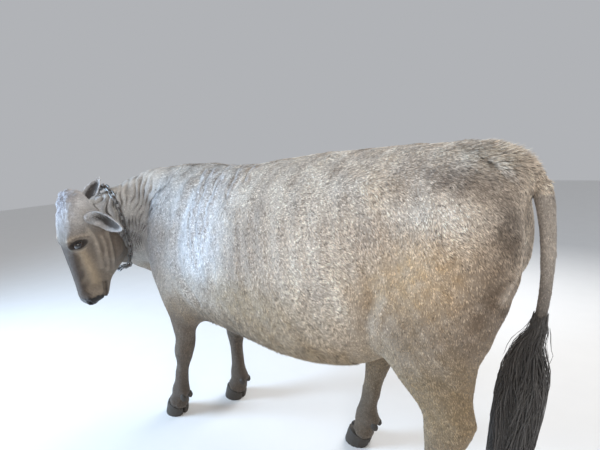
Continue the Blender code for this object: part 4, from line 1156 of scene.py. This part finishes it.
class BULL_OT_switch(bpy.types.Operator):
    """Hang the long soft hair at the tail's end"""
    bl_idname = "bull.switch"
    bl_label = "Tail switch"

    def execute(self, context):
        settings = context.scene.bull_coat
        spots = coordinates(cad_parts["tail_switch"].data)
        high = spots[:, 2].max()
        top = spots[spots[:, 2] > high - 0.03].mean(axis=0)
        end = spots[spots[:, 2] < spots[:, 2].min() + 0.10].mean(axis=0)
        draw = np.random.default_rng(SEED + 1)
        count = 3100
        steps = 8
        share = np.linspace(0, 1, steps)[None, :]
        start = 0.30 * draw.random(count)[:, None] - 0.10
        length = settings.switch_length * draw.uniform(0.70, 1.15, count)[:, None]
        fall = start + length * share * smoothstep(-0.18, 0.06, start)
        turn = draw.uniform(0, 2 * math.pi, count)[:, None]
        rim = draw.random(count)[:, None] ** 0.45
        widen = smoothstep(-0.03, 0.17, fall - 0.03 * draw.normal(size=(count, 1)))
        spread = 0.0185 + 0.052 * rim * widen * (1.0 - 0.25 * share ** 3) + 0.004 * share
        spread -= 0.012 * draw.random(count)[:, None] * smoothstep(0.0, 0.1, start)
        angle = turn + 0.16 * np.sin(share * 5 + turn * 5) + 0.07 * np.sin(share * 11 + turn * 17)
        level = high - fall
        paths = np.empty((count, steps, 3))
        core = np.array((end, top, (0.030 + PLACE.x, 0.880 + PLACE.y, 0.84), (0.030 + PLACE.x, 0.893 + PLACE.y, 0.96)))
        for axis, squash in ((0, 1.0), (1, 1.05)):
            around = np.cos(angle) if axis == 0 else np.sin(angle)
            paths[:, :, axis] = np.interp(level, core[:, 2], core[:, axis]) + spread * squash * around
        paths[:, :, 2] = level
        paths += 0.0022 * draw.normal(size=paths.shape) * share[:, :, None]
        clump = 1 + 0.20 * np.sin(turn * 9 + 3 * start)
        # dark grey hair, darkened further as painted shade
        tones = np.array((0.082, 0.074, 0.068)) * draw.uniform(0.62, 1.30, count)[:, None] * clump
        widths = draw.uniform(0.0014, 0.0034, count)
        patches = Unwrap.of(bpy.data.objects["skin"]).read(paths[:, 0])
        hair = strands("tail_switch_hair", paths, widths, tones, patches, switch_material())
        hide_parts("tail_switch")
        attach(hair, "root")
        return {"FINISHED"}


def switch_material():
    made = Finish("long_tail_hair", Roughness=0.6, Sheen_Weight=0.25, Specular_IOR_Level=0.3)
    fine = made.noise(60.0, 3.0, 0.6, stretch=(6.0, 6.0, 0.5))
    grey = made.node("ShaderNodeCombineColor", {}, {0: fine + 0.5, 1: fine + 0.5, 2: fine + 0.5})
    made.set("Base Color", made.mix(1.0, made.attribute("coat_colour_and_shade"), grey, "MULTIPLY"))
    made.bump(fine, 0.4, 0.002)
    return made.material


class BULL_OT_eyes(bpy.types.Operator):
    """Set the dark wet eyes in their sockets"""
    bl_idname = "bull.eyes"
    bl_label = "Eyes"

    def execute(self, context):
        material = eye_material()
        iris = np.array(context.scene.bull_colours.iris)
        names = {1: "eye_left", -1: "eye_right"}
        for side, centre, out in eye_places():
            ball = bmesh.new()
            bmesh.ops.create_uvsphere(ball, u_segments=48, v_segments=32, radius=EYE_RADIUS)
            turn = out.to_track_quat("Z", "Y").to_matrix().to_4x4()
            for vert in ball.verts:
                polar = math.acos(max(-1.0, min(1.0, vert.co.z / EYE_RADIUS)))
                bulge = 0.0016 * max(0.0, 1 - (polar / 0.62) ** 2)
                vert.co *= 1 + bulge / EYE_RADIUS
            bmesh.ops.transform(ball, matrix=Matrix.Translation(centre) @ turn, verts=ball.verts)
            mesh = bpy.data.meshes.new(names[side] + "_ball")
            ball.to_mesh(mesh)
            ball.free()
            offset = unit(coordinates(mesh) - np.array(centre))
            polar = np.arccos(np.clip(offset @ np.array(out), -1, 1))
            white = np.array((0.055, 0.034, 0.022))
            colour = np.where((polar < 0.62)[:, None], iris, white)
            colour = np.where((polar < 0.22)[:, None], 0.003, colour)
            paint(mesh, colour)
            piece = piece_from(names[side] + "_ball", mesh, material)
            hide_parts(names[side])
            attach(piece, "root")
        return {"FINISHED"}


# The dewclaws behind the fetlocks, before the shift that puts the bull in its place.
DEWCLAWS = (
    (0.216, -0.718, 0.129),
    (0.172, -0.718, 0.129),
    (-0.066, -0.546, 0.129),
    (-0.110, -0.546, 0.129),
    (0.212, 0.680, 0.129),
    (0.168, 0.680, 0.129),
    (-0.129, 0.251, 0.129),
    (-0.173, 0.251, 0.129),
)
DEWCLAW_RADII = (0.0140, 0.0165, 0.0215)


def dewclaws(material):
    """Small blunt horns behind each fetlock, in one piece."""
    whole = bmesh.new()
    for place in DEWCLAWS:
        turn = Matrix.Rotation(math.radians(24), 4, "X")
        size = Matrix.Diagonal((*DEWCLAW_RADII, 1.0))
        bmesh.ops.create_icosphere(whole, subdivisions=3, radius=1.0,
                                   matrix=Matrix.Translation(Vector(place) + PLACE) @ turn @ size)
    mesh = bpy.data.meshes.new("dewclaws")
    whole.to_mesh(mesh)
    whole.free()
    place_points(mesh, coordinates(mesh) + normals(mesh) * (0.0009 * wavy(coordinates(mesh), 0.02, 73))[:, None])
    return piece_from("dewclaws", mesh, material)


class BULL_OT_hooves(bpy.types.Operator):
    """Round the eight claws and give them ringed horn"""
    bl_idname = "bull.hooves"
    bl_label = "Hooves"

    def execute(self, context):
        material = hoof_material()
        for name in HOOVES:
            mesh = remeshed([name], 0.0026, 0.0)
            points = coordinates(mesh)
            low = points[:, 2].min()
            amount = 0.5 * smoothstep(0.0, 0.006, points[:, 2] - low) + 0.02
            points = smoothed(points, edges(mesh), amount, 12)
            points[:, 2] = np.maximum(points[:, 2], 0.0)
            rings = 0.00022 * np.sin(points[:, 2] * 2 * math.pi / 0.0095 + 1.6 * wavy(points, 0.04, 71))
            rings += 0.0006 * wavy(points, 0.025, 72)
            place_points(mesh, points)
            ways = normals(mesh)
            ways[:, 2] = 0
            points = points + ways * (rings * smoothstep(0.004, 0.012, points[:, 2]))[:, None]
            place_points(mesh, points)
            piece = piece_from(name + "_horn", mesh, material)
            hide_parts(name)
            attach(piece, "root")
        piece = dewclaws(material)
        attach(piece, "root")
        return {"FINISHED"}


def chain_loop():
    """Points round the neck that the middle of the chain runs through."""
    tree, _ = tree_of(["neck", "head", "torso", "foreleg_left_upper"])
    up = (Vector((0, 0, 1)) - COLLAR_WAY * COLLAR_WAY.z).normalized()
    side = COLLAR_WAY.cross(up)
    count = 72
    rays = [up * math.cos(2 * math.pi * step / count) + side * math.sin(2 * math.pi * step / count)
            for step in range(count)]
    reaches = []
    for ray in rays:
        reach = 0.0
        for shift in (-0.02, 0.0, 0.02):
            start = COLLAR_CENTRE + COLLAR_WAY * shift + ray * 0.5
            hit = tree.ray_cast(start, -ray, 0.5)
            if hit[0] is not None:
                reach = max(reach, 0.5 - hit[3])
        reaches.append(min(reach, COLLAR_REACH))
    for _ in range(3):
        reaches = [max(value, (reaches[index - 1] + value + reaches[(index + 1) % count]) / 3)
                   for index, value in enumerate(reaches)]
    clear = LINK_WIDTH / 2 + 0.001
    loop = []
    for step, (ray, reach) in enumerate(zip(rays, reaches)):
        slack = 0.014 * max(0.0, -math.cos(2 * math.pi * step / count)) ** 2
        loop.append(COLLAR_CENTRE + ray * (reach + clear + slack))
    return loop


def add_link(chain, centre, along, flat):
    """A round wire bent to a long loop, added to the chain."""
    bends = 20
    sides = 8
    straight = (LINK_LENGTH - LINK_WIDTH) / 2
    bend = LINK_WIDTH / 2 - LINK_WIRE
    normal = along.cross(flat)
    rings = []
    for step in range(bends):
        angle = 2 * math.pi * (step + 0.5) / bends
        middle = centre + along * (math.copysign(straight, math.cos(angle)) + bend * math.cos(angle))
        middle += flat * (bend * math.sin(angle))
        radial = along * math.cos(angle) + flat * math.sin(angle)
        ring = bmesh.ops.create_circle(chain, segments=sides, radius=LINK_WIRE)["verts"]
        turn = Matrix((radial, normal, radial.cross(normal))).transposed().to_4x4()
        bmesh.ops.transform(chain, matrix=Matrix.Translation(middle) @ turn, verts=ring)
        rings.append(ring)
    for before, after in zip(rings, rings[1:] + rings[:1]):
        for corner in range(sides):
            nxt = (corner + 1) % sides
            chain.faces.new((before[corner], before[nxt], after[nxt], after[corner]))


class BULL_OT_chain(bpy.types.Operator):
    """Lay the links of the neck chain round the neck"""
    bl_idname = "bull.chain"
    bl_label = "Neck chain"

    def execute(self, context):
        loop = chain_loop()
        count = len(loop)
        lengths = [(loop[(index + 1) % count] - loop[index]).length for index in range(count)]
        total = sum(lengths)
        links = int(round(total / (LINK_LENGTH - 4.15 * LINK_WIRE) / 2)) * 2
        chain = bmesh.new()
        for number in range(links):
            distance = total * number / links
            index = 0
            while distance > lengths[index]:
                distance -= lengths[index]
                index += 1
            centre = loop[index].lerp(loop[(index + 1) % count], distance / lengths[index])
            along = (loop[(index + 2) % count] - loop[index - 1]).normalized()
            out = (centre - COLLAR_CENTRE).normalized()
            side = along.cross(out).normalized()
            tilt = math.radians(52 if number % 2 else -38)
            add_link(chain, centre, along, side * math.cos(tilt) + side.cross(along) * math.sin(tilt))
        bmesh.ops.recalc_face_normals(chain, faces=chain.faces)
        mesh = bpy.data.meshes.new("neck_chain_links")
        chain.to_mesh(mesh)
        chain.free()
        piece = piece_from("neck_chain_links", mesh, chain_material())
        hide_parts("neck_chain")
        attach(piece, "root")
        return {"FINISHED"}


def lamp(name, place, target, size, power, colour):
    light = bpy.data.lights.new(name, "AREA")
    light.shape = "DISK"
    light.size = size
    light.energy = power
    light.color = colour
    holder = bpy.data.objects.new(name, light)
    bpy.context.collection.objects.link(holder)
    holder.location = place
    holder.rotation_euler = (Vector(target) - Vector(place)).to_track_quat("-Z", "Y").to_euler()


class BULL_OT_stage(bpy.types.Operator):
    """Set the floor, the lights and the camera"""
    bl_idname = "bull.stage"
    bl_label = "Stage"

    def execute(self, context):
        ground = bmesh.new()
        bmesh.ops.create_grid(ground, x_segments=2, y_segments=2, size=14.0)
        mesh = bpy.data.meshes.new("floor")
        ground.to_mesh(mesh)
        ground.free()
        floor = piece_from("floor", mesh, floor_material(), smooth=False)
        scene = context.scene
        world = bpy.data.worlds.new("pale_room")
        world.use_nodes = True
        world.node_tree.nodes["Background"].inputs[0].default_value = (0.80, 0.82, 0.86, 1.0)
        world.node_tree.nodes["Background"].inputs[1].default_value = 0.55
        scene.world = world
        scene.view_settings.view_transform = "Standard"
        lamp("window", (2.3, -2.9, 2.1), (0.1, -0.4, 1.0), 1.6, 205, (0.56, 0.76, 1.0))
        lamp("room", (2.6, 2.6, 2.9), (0.0, 0.4, 0.9), 2.2, 58, (1.0, 0.93, 0.84))
        lamp("back", (-2.8, 0.6, 3.0), (0.0, 0.2, 1.0), 2.5, 92, (1.0, 1.0, 1.0))
        seen = bpy.data.cameras.new("camera")
        seen.sensor_width = 36.0
        seen.lens = 23.1
        camera = bpy.data.objects.new("camera", seen)
        context.collection.objects.link(camera)
        ahead = Vector((-0.804, -0.595, 0)).normalized()
        above = Vector((0, 0, 1))
        right = ahead.cross(above)
        pitch = math.radians(11.0)
        roll = math.radians(3.06)
        forward = ahead * math.cos(pitch) - above * math.sin(pitch)
        upward = above * math.cos(pitch) + ahead * math.sin(pitch)
        across = right * math.cos(roll) - upward * math.sin(roll)
        lifted = right * math.sin(roll) + upward * math.cos(roll)
        turn = Matrix((across, lifted, -forward)).transposed().to_4x4()
        camera.matrix_world = Matrix.Translation(Vector((1.327, 0.958, 1.42)) + PLACE) @ turn
        scene.camera = camera
        return {"FINISHED"}


OPERATORS = (BULL_OT_skin, BULL_OT_coat, BULL_OT_switch, BULL_OT_eyes, BULL_OT_hooves, BULL_OT_chain, BULL_OT_stage)


class BULL_PT_panel(bpy.types.Panel):
    """The bull's pieces"""
    bl_label = "Bull"
    bl_space_type = "VIEW_3D"
    bl_region_type = "UI"
    bl_category = "Bull"

    def draw(self, context):
        for group in ("bull_skin", "bull_coat", "bull_colours"):
            box = self.layout.box()
            settings = getattr(context.scene, group)
            for key in settings.__annotations__:
                box.prop(settings, key)
        for operator in OPERATORS:
            self.layout.operator(operator.bl_idname)


CLASSES = (BullSkinSettings, BullCoatSettings, BullColourSettings) + OPERATORS + (BULL_PT_panel,)


def register():
    for kind in CLASSES:
        bpy.utils.register_class(kind)
    bpy.types.Scene.bull_skin = bpy.props.PointerProperty(type=BullSkinSettings)
    bpy.types.Scene.bull_coat = bpy.props.PointerProperty(type=BullCoatSettings)
    bpy.types.Scene.bull_colours = bpy.props.PointerProperty(type=BullColourSettings)


def unregister():
    del bpy.types.Scene.bull_skin
    del bpy.types.Scene.bull_coat
    del bpy.types.Scene.bull_colours
    for kind in reversed(CLASSES):
        bpy.utils.unregister_class(kind)


def main():
    register()
    bpy.ops.bull.skin()
    bpy.ops.bull.coat()
    bpy.ops.bull.switch()
    bpy.ops.bull.eyes()
    bpy.ops.bull.hooves()
    bpy.ops.bull.chain()
    bpy.ops.bull.stage()


if __name__ == "__main__":
    main()
